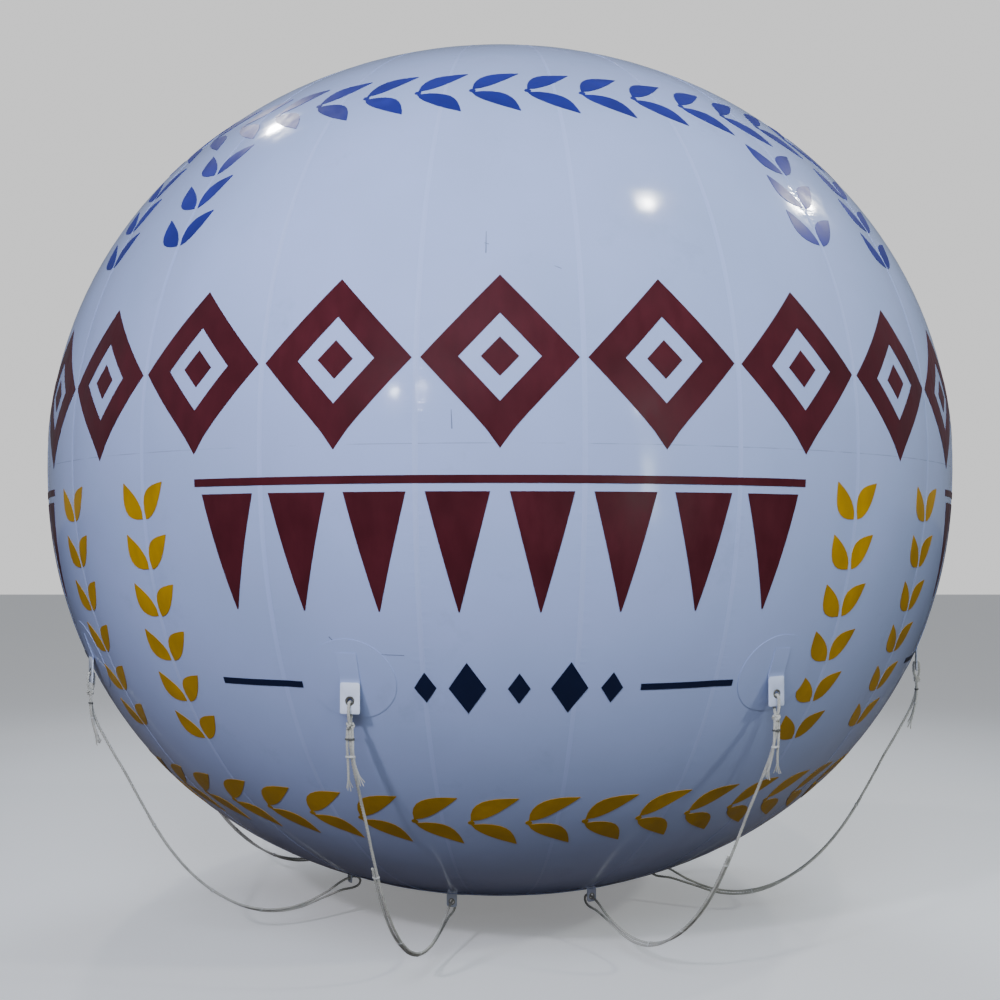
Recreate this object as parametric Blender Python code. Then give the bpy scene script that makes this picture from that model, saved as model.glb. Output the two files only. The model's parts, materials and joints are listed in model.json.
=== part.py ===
"""Advertising sky balloon: a gas-filled PVC envelope of 24 gores between two pole caps.

Eight tabs with an eye stand on round patches below the equator. A rope is hitched through each
eye, hangs in a slack curve and ends in a small lug under the belly. The filling valve is at the
bottom pole, with a hinged lid.

Metres, +Z up. The origin is on the balloon's axis at the height of its equator. Azimuth 0 is the
front, at -Y, and grows towards +X.
"""

import math

import bmesh
import bpy
import numpy as np
from mathutils import Matrix, Vector

# Envelope
EQUATOR_RADIUS = 1.83
TOP_HEIGHT = 1.689
BOTTOM_DEPTH = 1.729
LOWER_FULLNESS = 2.14
WALL = 0.010
GORES = 24
FACETS_PER_GORE = 2
TOP_CAP_RADIUS = 0.36
BOTTOM_CAP_RADIUS = 0.70
BOTTOM_CAP_INNER_RINGS = [0.26, 0.49]
SEAM_GAP = 0.0003
UPPER_RINGS = 8
MIDDLE_RINGS = 2
LOWER_RINGS = 5
SHARP_ANGLE = math.radians(35)

# Tether tabs
TABS = 8
FIRST_TAB_AZIMUTH = -15.0
PATCH_Z = -0.725
PATCH_RADIUS = 0.14
PATCH_THICKNESS = 0.005
PATCH_LIFT = 0.0005
PATCH_SIDES = 16
PATCH_RINGS = 2
TAB_WIDTH = 0.062
TAB_THICKNESS = 0.006
TAB_BASE_TOP_Z = -0.643
TAB_BEND_Z = -0.734
TAB_BOTTOM_Z = -0.824
TAB_SINK = 0.001
TAB_BASE_SECTIONS = 3
EYE_Z = -0.786
EYE_RADIUS = 0.010
EYE_SIDES = 16
EYE_CUT_DEPTH = 0.012

# Ropes and their hitches
ROPE_DIAMETER = 0.010
ROPE_BEVEL_STEPS = 2
HITCH_TOP_RADIUS = 0.0105
HITCH_FOOT_RADIUS = 0.0065
HITCH_TOP_DROP = 0.0033
HITCH_WAIST_DROP = 0.034
HITCH_FOOT_DROP = 0.056
HITCH_TOP_POINTS = 7
HITCH_FOOT_POINTS = 5
KNOT_DROP = 0.060
KNOT_RADIUS = 0.014
KNOT_HALF_HEIGHT = 0.017
KNOT_SEGMENTS = 10
KNOT_RINGS = 6
ROPE_POINT_STEP = 0.030
SAMPLES_PER_SPAN = 12
# Where a rope's centre runs, as (distance from the axis, height), from its knot to its lug.
ROPE_ROUTE = [
    (1.6940, -0.8736),
    (1.6932, -0.8900),
    (1.6860, -0.9250),
    (1.6680, -0.9750),
    (1.6370, -1.0350),
    (1.6020, -1.1000),
    (1.5680, -1.1600),
    (1.5215, -1.2500),
    (1.4670, -1.3500),
    (1.4050, -1.4500),
    (1.3255, -1.5500),
    (1.2390, -1.6300),
    (1.1450, -1.6900),
    (1.0480, -1.7250),
    (0.9600, -1.7350),
    (0.8800, -1.7267),
    (0.8000, -1.7016),
    (0.7600, -1.6823),
    (0.7300, -1.6668),
    (0.7100, -1.6592),
    (0.6900, -1.6545),
    (0.6730, -1.6530),
]

# Lugs on the bottom cap, one for each rope
LUG_RADIUS = 0.690
LUG_WIDTH = 0.040
LUG_THICKNESS = 0.005
LUG_TOP_Z = -1.622
LUG_EYE_Z = -1.6535
LUG_EYE_RADIUS = 0.0085
LUG_FOOT_Z = -1.674
LUG_SIDES = 12

# Filling valve at the bottom pole
VALVE_SIDES = 32
VALVE_BORE_RADIUS = 0.038
VALVE_TUBE_RADIUS = 0.045
VALVE_HOLE_RADIUS = 0.0455
VALVE_FLANGE_RADIUS = 0.085
VALVE_FLANGE_THICKNESS = 0.005
VALVE_INSIDE_LENGTH = 0.060
VALVE_COLLAR_HEIGHT = 0.008
LID_RADIUS = 0.050
LID_THICKNESS = 0.006
TONGUE_ROOT_Y = 0.040
TONGUE_INSET = 0.0005
HINGE_Y = 0.062
HINGE_PIN_RADIUS = 0.002
HINGE_BORE_RADIUS = 0.0024
HINGE_BARREL_RADIUS = 0.005
TONGUE_HALF_WIDTH = 0.006
EAR_INNER_X = 0.008
EAR_OUTER_X = 0.012
EAR_HALF_DEPTH = 0.005
HINGE_SIDES = 12
TOUCH_GAP = 0.0003

FLANGE_TOP_Z = -BOTTOM_DEPTH - TOUCH_GAP
FLANGE_FOOT_Z = FLANGE_TOP_Z - VALVE_FLANGE_THICKNESS
COLLAR_FOOT_Z = FLANGE_FOOT_Z - VALVE_COLLAR_HEIGHT
LID_TOP_Z = COLLAR_FOOT_Z - TOUCH_GAP
HINGE_Z = LID_TOP_Z - LID_THICKNESS / 2
TAB_PATH_LIFT = PATCH_LIFT + PATCH_THICKNESS - TAB_SINK + TAB_THICKNESS / 2


def clear_scene():
    """Takes the start-up objects out."""
    for item in list(bpy.data.objects):
        bpy.data.objects.remove(item, do_unlink=True)


def material(name, colour, roughness, metallic=0.0):
    """A plain Principled material."""
    made = bpy.data.materials.new(name)
    made.use_nodes = True
    shader = made.node_tree.nodes["Principled BSDF"]
    shader.inputs["Base Color"].default_value = (*colour, 1.0)
    shader.inputs["Roughness"].default_value = roughness
    shader.inputs["Metallic"].default_value = metallic
    return made


def mesh_from(name, points, faces):
    """A mesh of the given faces, all turned outwards."""
    mesh = bpy.data.meshes.new(name)
    mesh.from_pydata([tuple(point) for point in points], [], faces)
    shape = bmesh.new()
    shape.from_mesh(mesh)
    bmesh.ops.recalc_face_normals(shape, faces=shape.faces)
    shape.to_mesh(mesh)
    shape.free()
    return mesh


def place(name, mesh, finish, azimuth=0.0, parent=None):
    """An object of a mesh, turned about the balloon's axis to its azimuth."""
    item = bare(mesh)
    item.name = name
    item.rotation_euler = (0.0, 0.0, math.radians(azimuth))
    item.parent = parent
    if not mesh.materials:
        mesh.materials.append(finish)
    mesh.shade_smooth()
    mesh.set_sharp_from_angle(angle=SHARP_ANGLE)
    return item


def baked(item):
    """The object's mesh with its modifiers carried out. The object itself is taken away."""
    bpy.context.view_layer.update()
    seen = item.evaluated_get(bpy.context.evaluated_depsgraph_get())
    mesh = bpy.data.meshes.new_from_object(seen)
    bpy.data.objects.remove(item, do_unlink=True)
    return mesh


def combined(mesh, other, operation):
    """Two closed meshes joined or cut by an exact Boolean, as one mesh."""
    item = bare(mesh)
    tool = bare(other)
    step = item.modifiers.new("combine", "BOOLEAN")
    step.operation = operation
    step.solver = "EXACT"
    step.object = tool
    made = baked(item)
    bpy.data.objects.remove(tool, do_unlink=True)
    return made


def bare(data):
    """A plain object of a mesh or curve, or an empty."""
    item = bpy.data.objects.new("working", data)
    bpy.context.scene.collection.objects.link(item)
    return item


def profile_angle_at_radius(radius, lower):
    """The profile's angle from the top pole where it has this radius."""
    share = radius / EQUATOR_RADIUS
    if lower:
        return math.pi - math.asin(share ** (LOWER_FULLNESS / 2))
    return math.asin(share)


def profile_angle_at_height(z):
    """The profile's angle from the top pole at this height."""
    if z >= 0:
        return math.acos(z / TOP_HEIGHT)
    return math.pi - math.acos((-z / BOTTOM_DEPTH) ** (LOWER_FULLNESS / 2))


def profile_point(angle, lift=0.0):
    """Distance from the axis and height on the envelope's outer skin, moved out by lift."""
    side, rise = math.sin(angle), math.cos(angle)
    if rise >= 0:
        radius, z = EQUATOR_RADIUS * side, TOP_HEIGHT * rise
        out, up = side / EQUATOR_RADIUS, rise / TOP_HEIGHT
    else:
        power = 2 / LOWER_FULLNESS
        radius = EQUATOR_RADIUS * max(side, 0.0) ** power
        z = -BOTTOM_DEPTH * (-rise) ** power
        out = (radius / EQUATOR_RADIUS) ** (LOWER_FULLNESS - 1) / EQUATOR_RADIUS
        up = -((-z / BOTTOM_DEPTH) ** (LOWER_FULLNESS - 1)) / BOTTOM_DEPTH
    length = math.hypot(out, up)
    return radius + lift * out / length, z + lift * up / length


def around(radius, z, azimuth, shift=0.0):
    """A point at a radius, height and azimuth in radians, shifted sideways along the ring."""
    x = radius * math.sin(azimuth) + shift * math.cos(azimuth)
    y = -radius * math.cos(azimuth) + shift * math.sin(azimuth)
    return Vector((x, y, z))


def strip_faces(first, second, closed):
    """Quads between two rows of vertex numbers of the same length."""
    count = len(first)
    last = count if closed else count - 1
    return [
        (first[i], first[(i + 1) % count], second[(i + 1) % count], second[i])
        for i in range(last)
    ]


def gore_angles():
    """The profile angles of a gore's rings. Two of them are the equator and the patches' height."""
    start = profile_angle_at_radius(TOP_CAP_RADIUS, lower=False)
    patches = profile_angle_at_height(PATCH_Z)
    stop = profile_angle_at_radius(BOTTOM_CAP_RADIUS, lower=True)
    upper = np.linspace(start, math.pi / 2, UPPER_RINGS + 1)
    middle = np.linspace(math.pi / 2, patches, MIDDLE_RINGS + 1)
    lower = np.linspace(patches, stop, LOWER_RINGS + 1)
    return [*upper, *middle[1:], *lower[1:]]


def gore_mesh():
    """One gore from the top cap to the bottom cap, centred on azimuth 0."""
    half = math.pi / GORES
    columns = np.linspace(-half, half, FACETS_PER_GORE + 1)
    points, outer, inner = [], [], []
    for rows, lift in ((outer, 0.0), (inner, -WALL)):
        for angle in gore_angles():
            radius, z = profile_point(angle, lift)
            row = []
            for column, azimuth in enumerate(columns):
                inset = {0: SEAM_GAP / 2, FACETS_PER_GORE: -SEAM_GAP / 2}.get(column, 0.0)
                row.append(len(points))
                points.append(around(radius, z, azimuth, inset))
            rows.append(row)
    faces = []
    for rows in (outer, inner):
        for upper, lower in zip(rows, rows[1:]):
            faces += strip_faces(upper, lower, closed=False)
    for end in (0, -1):
        faces += strip_faces(outer[end], inner[end], closed=False)
        faces += strip_faces([row[end] for row in outer], [row[end] for row in inner], closed=False)
    return mesh_from("gore", points, faces)


def ring_of(points, radius, z, count):
    """Adds a ring of points about the axis and gives their numbers."""
    start = len(points)
    for i in range(count):
        points.append(around(radius, z, 2 * math.pi * i / count + math.pi / GORES))
    return list(range(start, start + count))


def top_cap_mesh():
    """The round cap over the gores' upper tips."""
    count = GORES * FACETS_PER_GORE
    points, faces, edges = [], [], []
    for lift in (0.0, -WALL):
        pole = len(points)
        points.append(Vector((0.0, 0.0, TOP_HEIGHT + lift)))
        rings = []
        for radius in (TOP_CAP_RADIUS / 2, TOP_CAP_RADIUS - SEAM_GAP):
            angle = profile_angle_at_radius(radius, lower=False)
            rings.append(ring_of(points, *profile_point(angle, lift), count))
        faces += [(pole, rings[0][i], rings[0][(i + 1) % count]) for i in range(count)]
        faces += strip_faces(rings[0], rings[1], closed=True)
        edges.append(rings[1])
    faces += strip_faces(edges[0], edges[1], closed=True)
    return mesh_from("top_cap", points, faces)


def bottom_cap_ring_mesh():
    """The cap under the gores' lower tips, with the valve's hole at the pole."""
    count = GORES * FACETS_PER_GORE
    points, faces, layers = [], [], []
    for lift in (0.0, -WALL):
        rings = []
        for radius in (VALVE_HOLE_RADIUS, *BOTTOM_CAP_INNER_RINGS, BOTTOM_CAP_RADIUS - SEAM_GAP):
            angle = profile_angle_at_radius(radius, lower=True)
            rings.append(ring_of(points, *profile_point(angle, lift), count))
        for inner, outer in zip(rings, rings[1:]):
            faces += strip_faces(inner, outer, closed=True)
        layers.append(rings)
    for end in (0, -1):
        faces += strip_faces(layers[0][end], layers[1][end], closed=True)
    return mesh_from("bottom_cap", points, faces)


def lug_mesh():
    """A flat lug with an eye, facing the axis at azimuth 0."""
    half, low, high = LUG_WIDTH / 2, LUG_FOOT_Z - LUG_EYE_Z, LUG_TOP_Z - LUG_EYE_Z
    rows = []
    points = []
    for depth in (-LUG_THICKNESS / 2, LUG_THICKNESS / 2):
        eye, rim = [], []
        for i in range(LUG_SIDES):
            turn = 2 * math.pi * (i + 0.5) / LUG_SIDES
            side, rise = math.cos(turn), math.sin(turn)
            reach = min(half / abs(side), (high if rise > 0 else -low) / abs(rise))
            for row, distance in ((eye, LUG_EYE_RADIUS), (rim, reach)):
                row.append(len(points))
                points.append(
                    Vector((distance * side, -LUG_RADIUS + depth, LUG_EYE_Z + distance * rise))
                )
        rows.append((eye, rim))
    (eye_in, rim_in), (eye_out, rim_out) = rows
    faces = []
    for first, second in ((eye_in, rim_in), (eye_out, rim_out), (eye_in, eye_out), (rim_in, rim_out)):
        faces += strip_faces(first, second, closed=True)
    return mesh_from("lug", points, faces)


def bottom_cap_mesh():
    """The bottom cap with a lug for each rope."""
    cap = bottom_cap_ring_mesh()
    lug = lug_mesh()
    lugs = bmesh.new()
    for azimuth in tab_azimuths():
        start = len(lugs.verts)
        lugs.from_mesh(lug)
        lugs.verts.ensure_lookup_table()
        turn = Matrix.Rotation(math.radians(azimuth), 4, "Z")
        bmesh.ops.transform(lugs, matrix=turn, verts=lugs.verts[start:])
    joined = bpy.data.meshes.new("lugs")
    lugs.to_mesh(joined)
    lugs.free()
    return combined(cap, joined, "UNION")


def tab_azimuths():
    """Where the tabs, ropes and lugs stand around the balloon, in degrees."""
    return [FIRST_TAB_AZIMUTH + 360 / TABS * i for i in range(TABS)]


def skin_point(sideways, along, lift):
    """A point on the skin around the patch's middle: sideways, and up along the meridian."""
    middle = profile_angle_at_height(PATCH_Z)
    steepness = (profile_point(middle, 1.0)[0] - profile_point(middle)[0])
    radius, z = profile_point(profile_angle_at_height(PATCH_Z + along * steepness), lift)
    return around(radius, z, sideways / radius)


def patch_mesh():
    """The round reinforcing patch, curved with the skin."""
    points, faces, edges = [], [], []
    for lift in (PATCH_LIFT + PATCH_THICKNESS, PATCH_LIFT):
        centre = len(points)
        points.append(skin_point(0.0, 0.0, lift))
        rings = []
        for ring in range(1, PATCH_RINGS + 1):
            reach = PATCH_RADIUS * ring / PATCH_RINGS
            row = []
            for i in range(PATCH_SIDES):
                turn = 2 * math.pi * i / PATCH_SIDES
                row.append(len(points))
                points.append(skin_point(reach * math.cos(turn), reach * math.sin(turn), lift))
            rings.append(row)
        faces += [
            (centre, rings[0][i], rings[0][(i + 1) % PATCH_SIDES]) for i in range(PATCH_SIDES)
        ]
        for inner, outer in zip(rings, rings[1:]):
            faces += strip_faces(inner, outer, closed=True)
        edges.append(rings[-1])
    faces += strip_faces(edges[0], edges[1], closed=True)
    return mesh_from("patch", points, faces)


def tab_plane_radius():
    """How far the middle of a hanging tab's plate is from the axis."""
    return profile_point(profile_angle_at_height(TAB_BEND_Z), TAB_PATH_LIFT)[0]


def tab_strip_mesh():
    """The tab's strip: welded along the patch, then hanging straight down."""
    half = TAB_THICKNESS / 2
    sections = []
    for z in np.linspace(TAB_BASE_TOP_Z, TAB_BEND_Z, TAB_BASE_SECTIONS + 1)[:-1]:
        angle = profile_angle_at_height(z)
        sections.append(
            (profile_point(angle, TAB_PATH_LIFT + half), profile_point(angle, TAB_PATH_LIFT - half))
        )
    plane = tab_plane_radius()
    for z in (TAB_BEND_Z, TAB_BOTTOM_Z):
        sections.append(((plane + half, z), (plane - half, z)))
    points, rows = [], []
    for front, back in sections:
        row = []
        for (radius, z), x in (
            (front, -TAB_WIDTH / 2),
            (front, TAB_WIDTH / 2),
            (back, TAB_WIDTH / 2),
            (back, -TAB_WIDTH / 2),
        ):
            row.append(len(points))
            points.append(Vector((x, -radius, z)))
        rows.append(row)
    faces = [tuple(rows[0]), tuple(rows[-1])]
    for upper, lower in zip(rows, rows[1:]):
        faces += strip_faces(upper, lower, closed=True)
    return mesh_from("tab_strip", points, faces)


def rod_mesh(start, stop, radius, sides):
    """A round bar between two points, with flat ends."""
    start, stop = Vector(start), Vector(stop)
    turn = (stop - start).to_track_quat("Z", "Y").to_matrix().to_4x4()
    bar = bmesh.new()
    bmesh.ops.create_cone(
        bar,
        cap_ends=True,
        segments=sides,
        radius1=radius,
        radius2=radius,
        depth=(stop - start).length,
        matrix=Matrix.Translation((start + stop) / 2) @ turn,
    )
    mesh = bpy.data.meshes.new("rod")
    bar.to_mesh(mesh)
    bar.free()
    return mesh


def tether_tab_mesh():
    """Patch and strip welded together, with the eye cut through the hanging plate."""
    plane = tab_plane_radius()
    cutter = rod_mesh(
        (0.0, -plane - EYE_CUT_DEPTH, EYE_Z),
        (0.0, -plane + EYE_CUT_DEPTH, EYE_Z),
        EYE_RADIUS,
        EYE_SIDES,
    )
    strip = combined(tab_strip_mesh(), cutter, "DIFFERENCE")
    return combined(patch_mesh(), strip, "UNION")


def tube_curve(points, radius, closed):
    """A round rope along the points, with flat ends unless it is closed."""
    curve = bpy.data.curves.new("tube", "CURVE")
    curve.dimensions = "3D"
    curve.bevel_depth = radius
    curve.bevel_resolution = ROPE_BEVEL_STEPS
    curve.use_fill_caps = not closed
    spline = curve.splines.new("POLY")
    spline.points.add(len(points) - 1)
    for knot, point in zip(spline.points, points):
        knot.co = (*point, 1.0)
    spline.use_cyclic_u = closed
    return curve


def hitch_mesh():
    """The loop of rope through the tab's eye, with the knot that closes it under the tab."""
    plane = tab_plane_radius()
    lip = EYE_Z - EYE_RADIUS
    outline = []
    for turn in np.linspace(0, math.pi, HITCH_TOP_POINTS):
        outline.append(
            (HITCH_TOP_RADIUS * math.cos(turn), HITCH_TOP_RADIUS * math.sin(turn) - HITCH_TOP_DROP)
        )
    outline.append((-HITCH_TOP_RADIUS, -HITCH_WAIST_DROP))
    for turn in np.linspace(math.pi, 2 * math.pi, HITCH_FOOT_POINTS):
        outline.append(
            (HITCH_FOOT_RADIUS * math.cos(turn), HITCH_FOOT_RADIUS * math.sin(turn) - HITCH_FOOT_DROP)
        )
    outline.append((HITCH_TOP_RADIUS, -HITCH_WAIST_DROP))
    points = [Vector((0.0, -plane - out, lip + up)) for out, up in outline]
    loop = baked(bare(tube_curve(points, ROPE_DIAMETER / 2, closed=True)))
    knot = bmesh.new()
    bmesh.ops.create_uvsphere(
        knot, u_segments=KNOT_SEGMENTS, v_segments=KNOT_RINGS, radius=KNOT_RADIUS
    )
    bmesh.ops.scale(knot, vec=(1.0, 1.0, KNOT_HALF_HEIGHT / KNOT_RADIUS), verts=knot.verts)
    bmesh.ops.translate(knot, vec=(0.0, -plane, lip - KNOT_DROP), verts=knot.verts)
    ball = bpy.data.meshes.new("knot")
    knot.to_mesh(ball)
    knot.free()
    return combined(loop, ball, "UNION")


def smooth_route(route, step):
    """Points at even steps on a smooth curve through the route's own points."""
    fixed = np.array(route)
    ghosts = np.vstack([2 * fixed[0] - fixed[1], fixed, 2 * fixed[-1] - fixed[-2]])
    fine = []
    for before, start, stop, after in zip(ghosts, ghosts[1:], ghosts[2:], ghosts[3:]):
        for share in np.linspace(0, 1, SAMPLES_PER_SPAN, endpoint=False):
            square, cube = share**2, share**3
            fine.append(
                0.5
                * (
                    2 * start
                    + (stop - before) * share
                    + (2 * before - 5 * start + 4 * stop - after) * square
                    + (3 * start - before - 3 * stop + after) * cube
                )
            )
    fine = np.array([*fine, fixed[-1]])
    lengths = np.concatenate([[0.0], np.cumsum(np.linalg.norm(np.diff(fine, axis=0), axis=1))])
    even = np.linspace(0, lengths[-1], round(lengths[-1] / step) + 1)
    return np.stack([np.interp(even, lengths, fine[:, i]) for i in range(fine.shape[1])], axis=1)


def valve_body_mesh():
    """The valve's tube and flange with its hinge ears and pin."""
    profile = [
        (VALVE_BORE_RADIUS, FLANGE_TOP_Z + VALVE_INSIDE_LENGTH),
        (VALVE_TUBE_RADIUS, FLANGE_TOP_Z + VALVE_INSIDE_LENGTH),
        (VALVE_TUBE_RADIUS, FLANGE_TOP_Z),
        (VALVE_FLANGE_RADIUS, FLANGE_TOP_Z),
        (VALVE_FLANGE_RADIUS, FLANGE_FOOT_Z),
        (VALVE_TUBE_RADIUS, FLANGE_FOOT_Z),
        (VALVE_TUBE_RADIUS, COLLAR_FOOT_Z),
        (VALVE_BORE_RADIUS, COLLAR_FOOT_Z),
    ]
    body = turned_mesh(profile)
    low = HINGE_Z - EAR_HALF_DEPTH
    high = FLANGE_FOOT_Z + VALVE_FLANGE_THICKNESS / 2
    for side in (-1, 1):
        near, far = sorted((side * EAR_INNER_X, side * EAR_OUTER_X))
        ear = box_mesh((near, HINGE_Y - EAR_HALF_DEPTH, low), (far, HINGE_Y + EAR_HALF_DEPTH, high))
        body = combined(body, ear, "UNION")
    middle = (EAR_INNER_X + EAR_OUTER_X) / 2
    pin = rod_mesh(
        (-middle, HINGE_Y, HINGE_Z), (middle, HINGE_Y, HINGE_Z), HINGE_PIN_RADIUS, HINGE_SIDES
    )
    return combined(body, pin, "UNION")


def turned_mesh(profile):
    """A ring turned about the balloon's axis from a closed outline of (radius, z)."""
    points, rings = [], []
    for radius, z in profile:
        rings.append(ring_of(points, radius, z, VALVE_SIDES))
    faces = []
    for first, second in zip(rings, [*rings[1:], rings[0]]):
        faces += strip_faces(first, second, closed=True)
    return mesh_from("turned", points, faces)


def box_mesh(low, high):
    """A plain block between two corners."""
    block = bmesh.new()
    bmesh.ops.create_cube(block, size=1.0)
    low, high = Vector(low), Vector(high)
    bmesh.ops.scale(block, vec=high - low, verts=block.verts)
    bmesh.ops.translate(block, vec=(low + high) / 2, verts=block.verts)
    mesh = bpy.data.meshes.new("block")
    block.to_mesh(mesh)
    block.free()
    return mesh


def valve_lid_mesh():
    """The lid with the tongue and barrel that turn on the hinge pin."""
    foot = LID_TOP_Z - LID_THICKNESS
    disc = rod_mesh((0.0, 0.0, foot), (0.0, 0.0, LID_TOP_Z), LID_RADIUS, VALVE_SIDES)
    tongue = box_mesh(
        (-TONGUE_HALF_WIDTH, TONGUE_ROOT_Y, foot + TONGUE_INSET),
        (TONGUE_HALF_WIDTH, HINGE_Y, LID_TOP_Z - TONGUE_INSET),
    )
    barrel = rod_mesh(
        (-TONGUE_HALF_WIDTH, HINGE_Y, HINGE_Z),
        (TONGUE_HALF_WIDTH, HINGE_Y, HINGE_Z),
        HINGE_BARREL_RADIUS,
        HINGE_SIDES,
    )
    bore = rod_mesh(
        (-EAR_OUTER_X, HINGE_Y, HINGE_Z),
        (EAR_OUTER_X, HINGE_Y, HINGE_Z),
        HINGE_BORE_RADIUS,
        HINGE_SIDES,
    )
    lid = combined(combined(disc, tongue, "UNION"), barrel, "UNION")
    return combined(lid, bore, "DIFFERENCE")


def build_envelope(film):
    """The gores and the two pole caps."""
    gore = gore_mesh()
    for i in range(GORES):
        place(f"gore_{i + 1:02d}", gore, film, azimuth=i * 360 / GORES)
    place("top_cap", top_cap_mesh(), film)
    place("bottom_cap", bottom_cap_mesh(), film)


def build_tethers(film, cordage):
    """The tabs, the hitches through their eyes and the ropes down to the lugs."""
    tab, hitch = tether_tab_mesh(), hitch_mesh()
    route = [Vector((0.0, -radius, z)) for radius, z in smooth_route(ROPE_ROUTE, ROPE_POINT_STEP)]
    for i, azimuth in enumerate(tab_azimuths()):
        place(f"tether_tab_{i + 1}", tab, film, azimuth=azimuth)
        place(f"rope_hitch_{i + 1}", hitch, cordage, azimuth=azimuth)
        rope = tube_curve(route, ROPE_DIAMETER / 2, closed=False)
        rope.materials.append(cordage)
        item = bare(rope)
        item.name = f"rope_{i + 1}"
        item.rotation_euler = (0.0, 0.0, math.radians(azimuth))


def build_valve(plastic):
    """The filling valve, and its lid on an empty at the hinge."""
    place("valve_body", valve_body_mesh(), plastic)
    hinge = bare(None)
    hinge.name = "valve_hinge"
    hinge.location = (0.0, HINGE_Y, HINGE_Z)
    lid = valve_lid_mesh()
    lid.transform(Matrix.Translation((0.0, -HINGE_Y, -HINGE_Z)))
    place("valve_lid", lid, plastic, parent=hinge)


def main():
    clear_scene()
    film = material("pvc_film", (0.74, 0.78, 0.84), 0.25)
    cordage = material("rope", (0.68, 0.66, 0.60), 0.85)
    plastic = material("valve_plastic", (0.80, 0.80, 0.78), 0.45)
    build_envelope(film)
    build_tethers(film, cordage)
    build_valve(plastic)


main()
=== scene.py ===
"""Looks of the advertising sky balloon: film, print, tabs, ropes, lugs, valve and a plain stage.

Metres, +Z up, origin on the balloon's axis at its equator. Azimuth 0 is the front, at -Y, and
grows towards +X. A chart is the skin laid flat: x runs along the equator, y up the skin from
the equator, and z is the lift off the skin.
"""

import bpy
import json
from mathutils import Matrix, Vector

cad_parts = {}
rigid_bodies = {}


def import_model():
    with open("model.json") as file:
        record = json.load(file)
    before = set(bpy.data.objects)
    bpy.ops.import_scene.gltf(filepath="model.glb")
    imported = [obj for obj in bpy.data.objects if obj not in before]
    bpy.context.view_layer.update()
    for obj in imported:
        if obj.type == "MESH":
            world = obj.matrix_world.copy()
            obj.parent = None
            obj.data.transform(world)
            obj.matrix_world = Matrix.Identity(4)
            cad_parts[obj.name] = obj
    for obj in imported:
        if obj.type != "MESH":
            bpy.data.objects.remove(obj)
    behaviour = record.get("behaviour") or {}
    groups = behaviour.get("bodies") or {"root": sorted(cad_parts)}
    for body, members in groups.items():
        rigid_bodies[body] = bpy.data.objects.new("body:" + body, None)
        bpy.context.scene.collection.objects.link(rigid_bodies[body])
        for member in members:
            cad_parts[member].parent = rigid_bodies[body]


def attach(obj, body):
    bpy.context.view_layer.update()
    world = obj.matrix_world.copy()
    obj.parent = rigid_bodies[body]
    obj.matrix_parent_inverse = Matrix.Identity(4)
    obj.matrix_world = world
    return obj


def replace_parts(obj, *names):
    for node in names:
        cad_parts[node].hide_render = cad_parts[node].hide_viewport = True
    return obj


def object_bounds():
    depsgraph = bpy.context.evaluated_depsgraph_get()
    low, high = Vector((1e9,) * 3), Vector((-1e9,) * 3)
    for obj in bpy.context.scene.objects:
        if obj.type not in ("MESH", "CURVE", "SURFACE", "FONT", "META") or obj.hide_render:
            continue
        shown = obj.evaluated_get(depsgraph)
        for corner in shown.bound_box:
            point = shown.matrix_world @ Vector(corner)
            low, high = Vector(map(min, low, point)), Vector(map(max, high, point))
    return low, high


bl_info = {
    "name": "Advertising Sky Balloon",
    "version": (1, 0, 0),
    "blender": (4, 5, 0),
    "location": "3D View > Sidebar > Balloon",
    "description": "Dresses the balloon's frame with film, print, tabs, ropes, a valve and a stage",
    "category": "Object",
}

import json
import math
from functools import cache, cached_property

import bmesh
import bpy
import numpy as np
from bpy.props import FloatProperty, FloatVectorProperty, IntProperty, PointerProperty
from mathutils import Matrix, Vector

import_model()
CAD_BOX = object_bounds()

# Sizes that the frame's own source holds
EQUATOR_RADIUS = CAD_BOX[1][0]
TOP_HEIGHT = CAD_BOX[1][2]
BOTTOM_DEPTH = 1.729
FULLNESS = 2.14
WALL = 0.010
GORES = 24
TOP_CAP_RADIUS = 0.36
BOTTOM_CAP_RADIUS = 0.70
SEAM_GAP = 0.0003

TABS = 8
FIRST_TAB_AZIMUTH = -15.0
PATCH_Z = -0.725
PATCH_RADIUS = 0.14
TAB_WIDTH = 0.062
TAB_BASE_TOP_Z = -0.643
TAB_BEND_Z = -0.734
TAB_BOTTOM_Z = -0.824
TAB_PLANE_RADIUS = 1.6938
EYE_Z = -0.786
EYE_RADIUS = 0.010

# A rope's centre, as (distance from the axis, height), from its knot to its lug
ROPE_ROUTE = [
    (1.6940, -0.8736), (1.6932, -0.8900), (1.6860, -0.9250), (1.6680, -0.9750), (1.6370, -1.0350),
    (1.6020, -1.1000), (1.5680, -1.1600), (1.5215, -1.2500), (1.4670, -1.3500), (1.4050, -1.4500),
    (1.3255, -1.5500), (1.2390, -1.6300), (1.1450, -1.6900), (1.0480, -1.7250), (0.9600, -1.7350),
    (0.8800, -1.7267), (0.8000, -1.7016), (0.7600, -1.6823), (0.7300, -1.6668), (0.7100, -1.6592),
    (0.6900, -1.6545), (0.6730, -1.6530),
]
# The rope's way back round its lug, before it runs beside itself between two distances from the axis
RETURN_ROUTE = [
    (0.6730, -1.6530), (0.6560, -1.6570), (0.6450, -1.6700), (0.6500, -1.6860), (0.6680, -1.6950),
    (0.6960, -1.6975), (0.7300, -1.7000),
]
RETURN_FROM_RADIUS = 0.80
RETURN_TO_RADIUS = 1.482

LUG_RADIUS = 0.690
LUG_WIDTH = 0.040
LUG_THICKNESS = 0.004
LUG_EYE_Z = -1.6535
LUG_EYE_RADIUS = 0.0085
LUG_FOOT_Z = -1.674

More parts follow.
